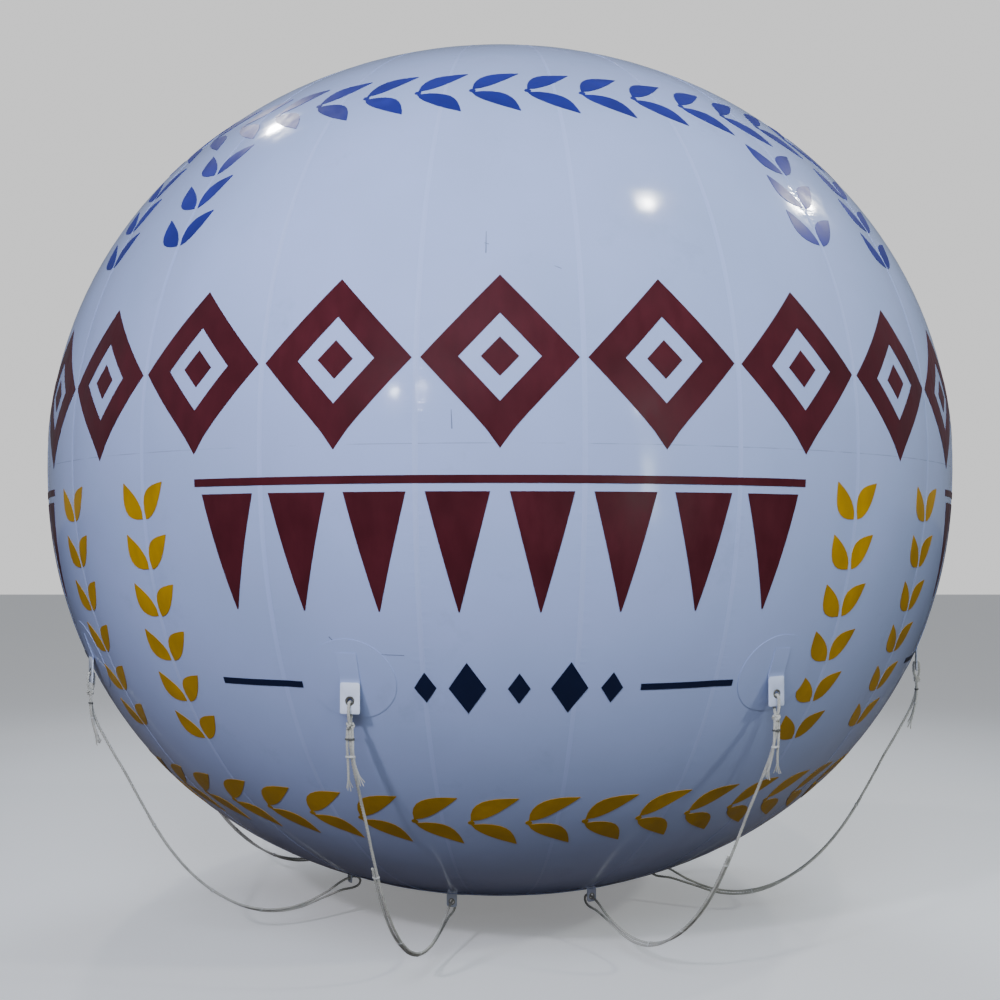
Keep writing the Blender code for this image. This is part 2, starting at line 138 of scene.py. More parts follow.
VALVE_BORE_RADIUS = 0.038
VALVE_TUBE_RADIUS = 0.045
VALVE_HOLE_RADIUS = 0.0455
VALVE_FLANGE_RADIUS = 0.085
FLANGE_TOP_Z = -1.7293
FLANGE_FOOT_Z = -1.7343
COLLAR_FOOT_Z = -1.7423
VALVE_TOP_Z = -1.6693
LID_RADIUS = 0.050
LID_TOP_Z = -1.7426
LID_FOOT_Z = -1.7486
HINGE_Y = 0.062
HINGE_Z = -1.7456

# Sizes that only the looks have
RIM_HALF_WIDTH = 0.016
RIM_THICKNESS = 0.0010
LUG_PATCH_THICKNESS = 0.0012
LINE_STEP = 0.012
ROPE_STEP = 0.0026
STRANDS = 3
PAINT_FOOT = 0.0001
PENCIL_THICKNESS = 0.0004
GUIDE_LINE_HEIGHT = -0.046
GUIDE_LINE_HALF_WIDTH = 0.0018
FLOOR_SIZE = 60.0
SENSOR_WIDTH = 36.0
FAR_CLIP = 200.0
LAMP_SPREAD = 100.0


def length_setting(**said):
    """A length that a user can change."""
    return FloatProperty(subtype="DISTANCE", unit="LENGTH", **said)


def colour_setting(**said):
    """A colour that a user can change."""
    return FloatVectorProperty(subtype="COLOR", size=3, **said)


class FilmSettings(bpy.types.PropertyGroup):
    """Sizes and colours of the balloon's film"""

    valley: length_setting(
        name="Seam valley", description="How far the skin dips at a seam", default=0.004, min=0.0, max=0.02
    )
    seam_width: length_setting(
        name="Seam width", description="Width of the welded band over each seam", default=0.016
    )
    seam_rise: length_setting(
        name="Seam rise", description="How far a welded band stands off the skin", default=0.0008
    )
    rows: IntProperty(name="Rows", description="Rows of faces down one gore", default=72, min=8)
    columns: IntProperty(name="Columns", description="Columns of faces across one gore", default=12, min=2)
    colour: colour_setting(name="Film", description="Colour of the film", default=(0.375, 0.45, 0.735))
    shade: colour_setting(
        name="Film shade", description="Colour of the film's duller places", default=(0.335, 0.405, 0.64)
    )
    weld: colour_setting(name="Weld", description="Colour of the welded bands", default=(0.405, 0.475, 0.74))


class PrintSettings(bpy.types.PropertyGroup):
    """Colours and thickness of the print"""

    lift: length_setting(name="Paint", description="How far the paint stands off the skin", default=0.0013)
    crown: colour_setting(
        name="Crown", description="Paint of the ring round the crown", default=(0.014, 0.020, 0.200)
    )
    belt: colour_setting(
        name="Belt", description="Paint of the belt and the pennants", default=(0.060, 0.009, 0.014)
    )
    line: colour_setting(name="Line", description="Paint of the fine lines", default=(0.004, 0.008, 0.030))
    belly: colour_setting(
        name="Belly", description="Paint of the ring round the belly", default=(0.400, 0.215, 0.000)
    )
    pencil: colour_setting(
        name="Pencil", description="Colour of the faint pencil marks", default=(0.14, 0.16, 0.24)
    )
    guide: colour_setting(
        name="Guide line", description="Colour of the faint line round the equator",
        default=(0.16, 0.18, 0.26),
    )


class TetherSettings(bpy.types.PropertyGroup):
    """Sizes and colours of the tabs and the ropes"""

    diameter: length_setting(name="Rope", description="Diameter of the laid rope", default=0.010)
    lay: length_setting(
        name="Lay", description="Length in which a strand goes once round the rope", default=0.034
    )
    tab_thickness: length_setting(
        name="Tab", description="Thickness of a tab's folded strip", default=0.0045
    )
    patch_thickness: length_setting(
        name="Patch", description="Thickness of the round patch under a tab", default=0.0014
    )
    tab_colour: colour_setting(
        name="Tab colour", description="Colour of the tabs and the lugs", default=(0.86, 0.88, 0.90)
    )
    rope_colour: colour_setting(
        name="Rope colour", description="Colour of the rope's fibres", default=(0.60, 0.58, 0.52)
    )
    mark_colour: colour_setting(
        name="Dark twine", description="Colour of the dark twine under a knot", default=(0.11, 0.11, 0.10)
    )
    twine_colour: colour_setting(
        name="Twine", description="Colour of the twine that binds the rope's ends", default=(0.78, 0.77, 0.74)
    )
    eyelet_colour: colour_setting(
        name="Eyelet", description="Colour of the metal eyelets", default=(0.30, 0.29, 0.24)
    )


class ValveSettings(bpy.types.PropertyGroup):
    """Colours and fineness of the filling valve"""

    sides: IntProperty(name="Sides", description="Faces round the valve", default=96, min=12)
    colour: colour_setting(
        name="Valve", description="Colour of the valve's plastic", default=(0.74, 0.74, 0.72)
    )


class StageSettings(bpy.types.PropertyGroup):
    """Camera, floor and light"""

    camera_distance: length_setting(
        name="Camera distance", description="From the balloon's axis to the camera", default=5.124
    )
    camera_height: length_setting(
        name="Camera height", description="The camera's height over the equator", default=-0.326
    )
    camera_pitch: FloatProperty(
        name="Camera pitch", description="How far the camera looks up", default=math.radians(2.1),
        subtype="ANGLE",
    )
    lens: FloatProperty(name="Lens", description="Focal length in millimetres", default=42.73)
    floor_height: length_setting(
        name="Floor", description="The floor's height over the equator", default=-1.83
    )
    floor_colour: colour_setting(
        name="Floor colour", description="Colour of the plain floor", default=(0.85, 0.85, 0.85)
    )
    floor_bounce: colour_setting(
        name="Floor bounce", description="Colour that the floor throws back at the balloon",
        default=(0.14, 0.118, 0.108),
    )
    floor_glow: colour_setting(
        name="Floor glow", description="Light that the floor adds to its colour in the camera's view",
        default=(0.22, 0.22, 0.22),
    )
    backdrop_colour: colour_setting(
        name="Backdrop", description="Colour of the plain backdrop", default=(0.95, 0.95, 0.95)
    )
    room_light: colour_setting(
        name="Room light", description="Colour of the soft light from all round", default=(0.17, 0.185, 0.21)
    )


def math_step(operation, swapped=False):
    """An operator of Value, as one Math node."""

    def add_node(self, other):
        return self.wires.math(operation, *((other, self) if swapped else (self, other)))

    return add_node


class Value:
    """A socket's value. Plain arithmetic on it adds Math nodes."""

    def __init__(self, wires, socket):
        self.wires = wires
        self.socket = socket

    __add__ = __radd__ = math_step("ADD")
    __mul__ = __rmul__ = math_step("MULTIPLY")
    __sub__ = math_step("SUBTRACT")
    __rsub__ = math_step("SUBTRACT", swapped=True)
    __truediv__ = math_step("DIVIDE")
    __rtruediv__ = math_step("DIVIDE", swapped=True)
    __pow__ = math_step("POWER")


class Wiring:
    """Adds nodes to a tree and wires them up."""

    def __init__(self, tree):
        self.tree = tree

    def node(self, kind, *sources, named=None, **settings):
        """A node with its settings, and its first and its named inputs wired or set."""
        made = self.tree.nodes.new(kind)
        for name, value in settings.items():
            setattr(made, name, value)
        for socket, source in zip(made.inputs, sources):
            self.plug(source, socket)
        for name, source in (named or {}).items():
            self.plug(source, made.inputs[name])
        return made

    def plug(self, source, socket):
        """Wires an output to an input, or sets the input's value."""
        source = source.socket if isinstance(source, Value) else source
        if isinstance(source, bpy.types.NodeSocket):
            self.tree.links.new(source, socket)
        elif source is not None:
            socket.default_value = source

    def reading(self, kind, output=0):
        """What a node without inputs reads, such as a place or a length."""
        return Value(self, self.node(kind).outputs[output])

    def math(self, operation, *sources):
        """One Math node's value."""
        return Value(self, self.node("ShaderNodeMath", *sources, operation=operation).outputs[0])

    def vector(self, x, y, z):
        """A vector from its three parts."""
        return self.node("ShaderNodeCombineXYZ", x, y, z).outputs[0]

    def parts(self, vector):
        """A vector's three parts."""
        return [Value(self, part) for part in self.node("ShaderNodeSeparateXYZ", vector).outputs]

    def blend(self, share, first, second):
        """Two colours mixed by a share."""
        made = self.node("ShaderNodeMix", share, data_type="RGBA")
        for socket, colour in ((made.inputs[6], first), (made.inputs[7], second)):
            self.plug(colour if isinstance(colour, bpy.types.NodeSocket) else (*colour, 1.0), socket)
        return made.outputs[2]

    def pale_to_camera(self, seen, felt):
        """A colour for the camera's own view of the stage, and another for what lights the balloon."""
        return self.blend(self.reading("ShaderNodeLightPath", "Is Camera Ray"), felt, seen)


def geometry_tree(name, inputs):
    """An empty geometry tree with a geometry in and out and further inputs (name, type, default)."""
    tree = bpy.data.node_groups.new(name, "GeometryNodeTree")
    for way in ("OUTPUT", "INPUT"):
        tree.interface.new_socket("Geometry", in_out=way, socket_type="NodeSocketGeometry")
    for label, kind, default in inputs:
        socket = tree.interface.new_socket(label, in_out="INPUT", socket_type=kind)
        if default is not None:
            socket.default_value = default
    wires = Wiring(tree)
    given = {socket.name: Value(wires, socket) for socket in wires.node("NodeGroupInput").outputs}
    return wires, given, wires.node("NodeGroupOutput").inputs[0]


SKIN_SIZES = [
    ("Equator Radius", "NodeSocketFloat", EQUATOR_RADIUS),
    ("Top Height", "NodeSocketFloat", TOP_HEIGHT),
    ("Bottom Depth", "NodeSocketFloat", BOTTOM_DEPTH),
    ("Fullness", "NodeSocketFloat", FULLNESS),
    ("Gores", "NodeSocketFloat", float(GORES)),
    ("Valley", "NodeSocketFloat", 0.0),
]
REPEAT_SIZES = [
    ("Count", "NodeSocketInt", 1),
    ("First Azimuth", "NodeSocketFloat", 0.0),
    ("Material", "NodeSocketMaterial", None),
]
STRIP_SIZES = [
    ("Width", "NodeSocketFloat", 0.4),
    ("Length", "NodeSocketFloat", 4.0),
    ("Thickness", "NodeSocketFloat", WALL),
    ("Middle", "NodeSocketVector", None),
    ("Columns", "NodeSocketInt", 12),
    ("Rows", "NodeSocketInt", 72),
]
ROPE_SIZES = [
    ("Diameter", "NodeSocketFloat", 0.01),
    ("Lay", "NodeSocketFloat", 0.034),
    ("Step", "NodeSocketFloat", ROPE_STEP),
    ("Sides", "NodeSocketInt", 6),
    ("Material", "NodeSocketMaterial", None),
]


def skin_group():
    """The group that bends a flat chart onto the balloon's skin."""
    wires, given, out = geometry_tree("balloon_skin", SKIN_SIZES)
    radius, top, bottom, fullness, gores, valley = [given[label] for label, *_ in SKIN_SIZES]
    flat_x, flat_y, flat_z = wires.parts(wires.reading("GeometryNodeInputPosition"))
    azimuth = flat_x / radius
    angle = math.pi / 2 - flat_y / radius
    side = wires.math("MAXIMUM", wires.math("SINE", angle), 0.0)
    rise = wires.math("COSINE", angle)
    depth = wires.math("ABSOLUTE", rise)
    is_lower = wires.math("LESS_THAN", rise, 0.0)
    power = 2.0 / fullness
    slope_power = power * (fullness - 1.0)

    def choose(upper, lower):
        mixed = wires.node("ShaderNodeMix", is_lower, None, upper, lower, data_type="FLOAT")
        return Value(wires, mixed.outputs[0])

    away = choose(side, side**slope_power) / radius
    upwards = choose(rise / top, depth**slope_power / (bottom * -1.0))
    length = wires.math("SQRT", away**2.0 + upwards * upwards)
    across = wires.math("FRACT", azimuth * gores / (2 * math.pi) + 0.5)
    to_seam = wires.math("ABSOLUTE", across * 2.0 - 1.0)
    dip = valley * to_seam**3.0 * side**2.0
    lift = (flat_z - dip) / length
    from_axis = radius * choose(side, side**power) + lift * away
    height = choose(top * rise, bottom * -1.0 * depth**power) + lift * upwards
    x = from_axis * wires.math("SINE", azimuth)
    y = from_axis * wires.math("COSINE", azimuth) * -1.0
    moved = wires.node("GeometryNodeSetPosition", given["Geometry"], None, wires.vector(x, y, height))
    wires.plug(moved.outputs[0], out)
    return wires.tree


def end_tree(wires, geometry, given, out):
    """The last steps of a tree: real geometry with its material."""
    whole = wires.node("GeometryNodeRealizeInstances", geometry).outputs[0]
    painted = wires.node("GeometryNodeSetMaterial", whole, None, given["Material"])
    wires.plug(painted.outputs[0], out)
    return wires.tree


def repeat_group():
    """The group that sets a piece round the balloon's axis and gives it its material."""
    wires, given, out = geometry_tree("round_the_axis", REPEAT_SIZES)
    places = wires.node("GeometryNodePoints", given["Count"]).outputs[0]
    step = 2 * math.pi / given["Count"]
    azimuth = given["First Azimuth"] + wires.reading("GeometryNodeInputIndex") * step
    turn = wires.node("FunctionNodeEulerToRotation", wires.vector(0.0, 0.0, azimuth)).outputs[0]
    ring = wires.node(
        "GeometryNodeInstanceOnPoints", places, None, given["Geometry"], named={"Rotation": turn}
    )
    return end_tree(wires, ring.outputs[0], given, out)


def grouped(wires, tree, geometry, given):
    """A group node in a tree, with its inputs wired to the tree's own inputs of the same name."""
    group = wires.node("GeometryNodeGroup", node_tree=tree)
    for socket in group.inputs:
        wires.plug(geometry if socket.name == "Geometry" else given.get(socket.name), socket)
    return group.outputs[0]


def with_uv(wires, geometry, place):
    """Keeps a place, such as that on the flat chart, as the piece's UV map."""
    kept = {"Name": "UVMap", "Value": place}
    store = wires.node(
        "GeometryNodeStoreNamedAttribute", geometry, named=kept, data_type="FLOAT2", domain="CORNER"
    )
    return store.outputs[0]


def end_on_skin(wires, groups, flat, given, out):
    """The last steps of a tree on the flat chart: its UV map, then the skin's and the ring's groups."""
    geometry = with_uv(wires, flat, wires.reading("GeometryNodeInputPosition"))
    for group in groups:
        geometry = grouped(wires, group, geometry, given)
    wires.plug(geometry, out)
    return wires.tree


def chart_tree(skin, ring):
    """Bends the object's own flat mesh onto the skin and repeats it round the axis."""
    wires, given, out = geometry_tree("chart_round_the_axis", SKIN_SIZES + REPEAT_SIZES)
    return end_on_skin(wires, (skin, ring), given["Geometry"], given, out)


def strip_tree(skin, ring):
    """A flat strip from its sizes, bent onto the skin and repeated: the gores and the welded seams."""
    wires, given, out = geometry_tree("skin_strips", STRIP_SIZES + SKIN_SIZES + REPEAT_SIZES)
    size = wires.vector(given["Width"], given["Length"], given["Thickness"])
    slab = wires.node("GeometryNodeMeshCube", size, given["Columns"] + 1.0, given["Rows"] + 1.0, 2)
    placed = wires.node("GeometryNodeTransform", slab.outputs[0], named={"Translation": given["Middle"]})
    return end_on_skin(wires, (skin, ring), placed.outputs[0], given, out)


def plain_ring_tree(ring):
    """Repeats the object's own mesh round the axis."""
    wires, given, out = geometry_tree("pieces_round_the_axis", REPEAT_SIZES)
    wires.plug(grouped(wires, ring, given["Geometry"], given), out)
    return wires.tree


def with_reading(wires, curve, reading):
    """A curve that keeps one of its spline readings, and what it keeps."""
    kept = wires.node("GeometryNodeCaptureAttribute", curve)
    kept.capture_items.new("FLOAT", reading)
    wires.plug(wires.reading("GeometryNodeSplineParameter", reading), kept.inputs[1])
    return kept.outputs[0], kept.outputs[1]


def laid_rope_tree():
    """Three strands laid round a line of edges, as a rope."""
    wires, given, out = geometry_tree("laid_rope", ROPE_SIZES)
    line = wires.node("GeometryNodeMeshToCurve", given["Geometry"]).outputs[0]
    even = wires.node("GeometryNodeResampleCurve", line, named={"Length": given["Step"]}, mode="LENGTH")
    straight = wires.node("GeometryNodeSetCurveNormal", even.outputs[0], mode="MINIMUM_TWIST").outputs[0]
    length = wires.reading("GeometryNodeSplineParameter", "Length")
    normal, tangent = wires.reading("GeometryNodeInputNormal"), wires.reading("GeometryNodeInputTangent")
    strand_radius = given["Diameter"] / (2 * (1 + 2 / math.sqrt(STRANDS)))
    from_middle = strand_radius * (2 / math.sqrt(STRANDS))
    circle = wires.node(
        "GeometryNodeCurvePrimitiveCircle", mode="RADIUS",
        named={"Resolution": given["Sides"], "Radius": strand_radius},
    )
    strands = wires.node("GeometryNodeJoinGeometry")
    for strand in range(STRANDS):
        turn = length / given["Lay"] * (2 * math.pi) + 2 * math.pi * strand / STRANDS
        spun = wires.node(
            "ShaderNodeVectorRotate", rotation_type="AXIS_ANGLE",
            named={"Vector": normal, "Axis": tangent, "Angle": turn},
        )
        reach = wires.node(
            "ShaderNodeVectorMath", spun.outputs[0], named={"Scale": from_middle}, operation="SCALE"
        )
        laid = wires.node("GeometryNodeSetPosition", straight, named={"Offset": reach.outputs[0]}).outputs[0]
        path, along = with_reading(wires, laid, "Length")
        profile, about = with_reading(wires, circle.outputs[0], "Factor")
        tube = wires.node("GeometryNodeCurveToMesh", path, profile, named={"Fill Caps": True}).outputs[0]
        wires.plug(with_uv(wires, tube, wires.vector(about, along, 0.0)), strands.inputs[0])
    return end_tree(wires, strands.outputs[0], given, out)


@cache
def trees():
    """The geometry trees, made once."""
    skin, ring = skin_group(), repeat_group()
    return {
        "chart": chart_tree(skin, ring),
        "strips": strip_tree(skin, ring),
        "plain": plain_ring_tree(ring),
        "rope": laid_rope_tree(),
    }


def linked(name, data):
    """A new object of a mesh, lamp or camera at the origin."""
    item = bpy.data.objects.new(name, data)
    bpy.context.scene.collection.objects.link(item)
    return item


def outwards(mesh):
    """Turns a closed mesh's faces outwards."""
    shape = bmesh.new()
    shape.from_mesh(mesh)
    bmesh.ops.recalc_face_normals(shape, faces=shape.faces)
    shape.to_mesh(mesh)
    shape.free()
    return mesh


def grown(name, mesh, tree, values):
    """A plain mesh object made by a geometry tree from a mesh, with the tree's inputs by name."""
    source = linked("source", mesh)
    step = source.modifiers.new("make", "NODES")
    step.node_group = trees()[tree]
    for socket in step.node_group.interface.items_tree:
        if socket.in_out == "INPUT" and socket.name in values:
            step[socket.identifier] = values[socket.name]
    bpy.context.view_layer.update()
    seen = source.evaluated_get(bpy.context.evaluated_depsgraph_get())
    made = outwards(bpy.data.meshes.new_from_object(seen))
    made.name = name
    bpy.data.objects.remove(source, do_unlink=True)
    return linked(name, made)


def smooth(item, angle=40.0):
    """Smooth shading with creases sharper than the angle, in degrees, kept."""
    item.data.shade_smooth()
    item.data.set_sharp_from_angle(angle=math.radians(angle))
    return item


def chart_y(z):
    """The chart's y at a height on the skin."""
    if z >= 0:
        return math.asin(z / TOP_HEIGHT) * EQUATOR_RADIUS
    return -math.asin((-z / BOTTOM_DEPTH) ** (FULLNESS / 2)) * EQUATOR_RADIUS


def chart_y_at_radius(radius, lower):
    """The chart's y where the skin has this distance from the axis."""
    share = (radius / EQUATOR_RADIUS) ** (FULLNESS / 2 if lower else 1.0)
    y = math.acos(share) * EQUATOR_RADIUS
    return -y if lower else y


def skin_at(y, lift=0.0):
    """Distance from the axis and height of the skin at a chart's y."""
    angle = math.pi / 2 - y / EQUATOR_RADIUS
    side, rise = max(math.sin(angle), 0.0), math.cos(angle)
    if rise >= 0:
        radius, z = EQUATOR_RADIUS * side, TOP_HEIGHT * rise
        out, up = side / EQUATOR_RADIUS, rise / TOP_HEIGHT
    else:
        power = 2 / FULLNESS
        slope_power = power * (FULLNESS - 1)
        radius, z = EQUATOR_RADIUS * side**power, -BOTTOM_DEPTH * (-rise) ** power
        out, up = side**slope_power / EQUATOR_RADIUS, -((-rise) ** slope_power) / BOTTOM_DEPTH
    length = math.hypot(out, up)
    return radius + lift * out / length, z + lift * up / length


def spread_at(y):
    """How much wider the chart is than the skin at a chart's y."""
    return EQUATOR_RADIUS / skin_at(y)[0]


def turns(count, first=0.0):
    """Even angles once round, the first one a share of a step from 0."""
    return [2 * math.pi * (i + first) / count for i in range(count)]


def mesh_from(shape, name="shape"):
    """A new mesh from a bmesh, which is freed."""
    made = bpy.data.meshes.new(name)
    shape.to_mesh(made)
    shape.free()
    return made


class Shells:
    """Collects closed shells of points and faces as one mesh."""

    def __init__(self):
        self.points, self.faces = [], []

    def row(self, points):
        """Adds points and gives their numbers."""
        first = len(self.points)
        self.points += points
        return list(range(first, len(self.points)))

    def quads(self, first, second):
        """Quads between two rows of numbers."""
        self.faces += zip(first, first[1:], second[1:], second)

    def rings(self, rings, poles=()):
        """A shell through closed rings, from pole to pole or, without poles, back to its first ring."""
        loops = [row + row[:1] for row in map(self.row, rings)]
        for first, second in zip(loops, loops[1:]):
            self.quads(first, second)
        for pole, loop in zip(self.row(poles), (loops[0], loops[-1])):
            self.faces += [(pole, a, b) for a, b in zip(loop, loop[1:])]
        if not poles:
            self.quads(loops[-1], loops[0])
        return self

    def plate(self, top, foot):
        """A shell between two grids of rows."""
        top, foot = [[self.row(row) for row in grid] for grid in (top, foot)]
        for grid in (top, foot):
            for first, second in zip(grid, grid[1:]):
                self.quads(first, second)
        for side in (0, -1):
            self.quads([row[side] for row in top], [row[side] for row in foot])
            self.quads(top[side], foot[side])
        return self

    def mesh(self):
        """The shells as one mesh."""
        made = bpy.data.meshes.new("shells")
        made.from_pydata(self.points, [], self.faces)
        return made


class Slabs(Shells):
    """Thin shells on the chart, each between two lifts."""

    def __init__(self, low, high):
        super().__init__()
        self.low, self.high = low, high

    def lifted(self, rows):
        """Rows of (x, y) points at the upper and at the lower lift."""
        return [[[(x, y, lift) for x, y in row] for row in rows] for lift in (self.high, self.low)]

    def band(self, rows):
        """A slab over rows of points."""
        self.plate(*self.lifted(rows))

    def disc(self, rings, centre=None):
        """A slab over closed rings, round a centre or, without one, round a hole."""
        top, foot = self.lifted(rings)
        poles = [(*centre, lift) for lift in (self.high, self.low)] if centre else ()
        self.rings(top + foot[::-1], poles)


class Finish(Wiring):
    """A new material, its Principled shader's inputs and the patterns laid on it."""

    def __init__(self, name):
        self.material = bpy.data.materials.new(name)
        self.material.use_nodes = True
        super().__init__(self.material.node_tree)
        self.shader = self.tree.nodes["Principled BSDF"].inputs

    @cached_property
    def where(self):
        """The object's own coordinates."""
        return self.node("ShaderNodeTexCoord").outputs["Object"]

    @cached_property
    def chart(self):
        """The piece's UV map."""
        return self.node("ShaderNodeUVMap", uv_map="UVMap").outputs[0]

    def stretched(self, place, scale):
        """A place stretched along its axes."""
        return self.node("ShaderNodeMapping", named={"Vector": place, "Scale": scale}).outputs[0]

    def between(self, value, low, high, start=0.0, stop=1.0):
        """A value's way from low to high as a way from start to stop, held at both ends."""
        return Value(self, self.node("ShaderNodeMapRange", value, low, high, start, stop).outputs[0])

    def noise(self, scale, detail=3.0, roughness=0.55, where=None, span=None, most=1.0):
        """A noise pattern's value or, with a span, its way over that span up to the most."""
        place = self.where if where is None else where
        given = {"Vector": place, "Scale": scale, "Detail": detail, "Roughness": roughness}
        value = Value(self, self.node("ShaderNodeTexNoise", named=given).outputs["Fac"])
        return self.between(value, *span, 0.0, most) if span else value

    def bump(self, height, distance, strength, under=None):
        """A bump of a height pattern, in metres, over another."""
        given = {"Strength": strength, "Distance": distance, "Height": height, "Normal": under}
        return self.node("ShaderNodeBump", named=given).outputs[0]

    def dress(self, inputs):
        """Wires or sets the shader's inputs and gives the material."""
        for name, source in inputs.items():
            self.plug(source, self.shader[name])
        return self.material


def scaled(colour, share):
    """A colour made lighter or darker."""
    return [min(1.0, channel * share) for channel in colour]


def seam_puckers(film):
    """Short creases that run out from the welds at both edges of a gore."""
    crease_reach, half_width = 0.065, math.pi * EQUATOR_RADIUS / GORES
    x, y, _ = film.parts(film.chart)
    near_seam = film.between(film.math("ABSOLUTE", x), half_width - crease_reach, half_width)
    across_seam = film.vector(x * 3.0, y * 26.0, 0.0)
    creases = film.noise(scale=1.0, roughness=0.6, where=across_seam, span=(0.40, 0.70))
    return creases * near_seam**2.0


def film_material(name, colour, shade, guide=None):
    """White PVC film: soft mottling, dull smudges, uneven gloss, ripples and, on a gore, a guide line."""
    film = Finish(name)
    mottle = film.noise(scale=1.3, detail=4.0, span=(0.35, 0.70))
    stain = film.noise(scale=3.4, detail=6.0, roughness=0.72, span=(0.60, 0.78), most=0.55)
    tone = film.blend(stain, film.blend(mottle, colour, shade), scaled(shade, 0.82))
    relief = film.bump(film.noise(scale=5.0, detail=2.0), distance=0.0035, strength=0.30)
    if guide:
        off_line = film.math("ABSOLUTE", film.parts(film.where)[2] - GUIDE_LINE_HEIGHT)
        line = film.between(off_line, GUIDE_LINE_HALF_WIDTH / 2, GUIDE_LINE_HALF_WIDTH, 0.45, 0.0)
        broken = film.noise(scale=9.0, detail=2.0, span=(0.38, 0.55))
        tone = film.blend(line * broken, tone, guide)
        relief = film.bump(seam_puckers(film), distance=0.0016, strength=0.55, under=relief)
    relief = film.bump(film.noise(scale=420.0, detail=2.0), distance=0.0001, strength=0.25, under=relief)
    smudge = film.noise(scale=6.0, detail=5.0, roughness=0.7, span=(0.52, 0.74))
    scuffs = film.noise(scale=55.0, detail=6.0, roughness=0.75, span=(0.62, 0.72))
    gloss = smudge * 0.14 + scuffs * 0.10 + 0.11
    return film.dress({"Base Color": tone, "Roughness": gloss, "Normal": relief, "Specular IOR Level": 0.5})


def paint_material(name, colour, streak=0.55):
    """Brushed paint: streaks of thinner and thicker paint, duller than the film."""
    paint = Finish(name)
    brushed = paint.stretched(paint.where, (1.0, 1.0, 0.35))
    streaks = paint.noise(scale=26.0, detail=5.0, roughness=0.65, where=brushed, span=(0.35, 0.68))
    patches = paint.noise(scale=4.5, span=(0.40, 0.66))
    thin = paint.blend(streaks * streak, colour, scaled(colour, 1.45))
    relief = paint.bump(paint.noise(scale=5.0, detail=2.0), distance=0.0035, strength=0.30)
    return paint.dress({
        "Base Color": paint.blend(patches * streak, thin, scaled(colour, 0.62)),
        "Roughness": paint.between(streaks, 0.0, 1.0, 0.30, 0.44),
        "Normal": paint.bump(streaks, distance=0.0002, strength=0.4, under=relief),
        "Specular IOR Level": 0.32,
    })


def rope_material(name, colour):
    """Laid rope: fibres along each strand, greyed in places."""
    rope = Finish(name)
    along_strand = rope.stretched(rope.chart, (9.0, 140.0, 1.0))
    fibres = rope.noise(scale=1.0, roughness=0.7, where=along_strand)
    dirt = rope.noise(scale=18.0, detail=4.0, span=(0.45, 0.72))
    worn = rope.blend(dirt * 0.6, colour, scaled(colour, 0.55))
    return rope.dress({
        "Base Color": rope.blend(rope.between(fibres, 0.52, 0.30), worn, scaled(colour, 0.62)),
        "Normal": rope.bump(fibres, distance=0.0006, strength=0.7),
        "Roughness": 0.85,
        "Sheen Weight": 0.25,
    })


def metal_material(name, colour):
    """Dull eyelet metal with worn, brighter places."""
    metal = Finish(name)
    wear = metal.noise(scale=160.0, detail=4.0, span=(0.35, 0.70))
    return metal.dress({
        "Base Color": metal.blend(wear, colour, scaled(colour, 1.7)),
        "Roughness": metal.between(wear, 0.0, 1.0, 0.50, 0.32),
        "Metallic": 0.9,
    })


def plastic_material(name, colour):
    """Moulded plastic with a faint grain and dust."""
    plastic = Finish(name)
    dust = plastic.noise(scale=40.0, detail=4.0, span=(0.45, 0.75))
    return plastic.dress({
        "Base Color": plastic.blend(dust, colour, scaled(colour, 0.80)),
        "Roughness": plastic.between(dust, 0.0, 1.0, 0.38, 0.55),
        "Normal": plastic.bump(plastic.noise(scale=900.0, detail=2.0), distance=0.0001, strength=0.3),
    })


@cache
def material(key):
    """One of the balloon's materials, made when first asked for."""
    scene = bpy.context.scene
    film, paint, tether = scene.balloon_film, scene.balloon_print, scene.balloon_tether
    maker, *values = {
        "film": (film_material, "pvc_film", film.colour, film.shade, paint.guide),
        "cap": (film_material, "pvc_cap", film.colour, film.shade),
        "weld": (film_material, "pvc_weld", film.weld, film.colour),
        "patch": (film_material, "pvc_patch", film.colour, film.shade),
        "tab": (film_material, "pvc_tab", tether.tab_colour, film.weld),
        "crown": (paint_material, "crown_paint", paint.crown),
        "belt": (paint_material, "belt_paint", paint.belt),
        "line": (paint_material, "line_paint", paint.line, 0.3),
        "belly": (paint_material, "belly_paint", paint.belly),
        "pencil": (paint_material, "pencil", paint.pencil, 0.8),
        "rope": (rope_material, "laid_rope", tether.rope_colour),
        "twine": (rope_material, "binding_twine", tether.twine_colour),
        "mark": (rope_material, "dark_twine", tether.mark_colour),
        "eyelet": (metal_material, "eyelet_metal", tether.eyelet_colour),
        "valve": (plastic_material, "valve_plastic", scene.balloon_valve.colour),
    }[key]
    return maker(*values)


def set_round(name, mesh, key, count, first=0.0, tree="plain", sizes=None):
    """A tree's piece from a mesh, set round the axis from an azimuth in degrees, riding on the envelope."""
    values = {"Count": count, "First Azimuth": math.radians(first), "Material": material(key)}
    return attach(smooth(grown(name, mesh, tree, values | (sizes or {}))), "envelope")


def skinned(name, slabs, key, count, first=0.0):
    """Slabs of film or paint bent onto the skin and set round the axis."""
    valley = {"Valley": bpy.context.scene.balloon_film.valley}
    piece = set_round(name, slabs.mesh(), key, count, first, "chart", valley)
    return piece


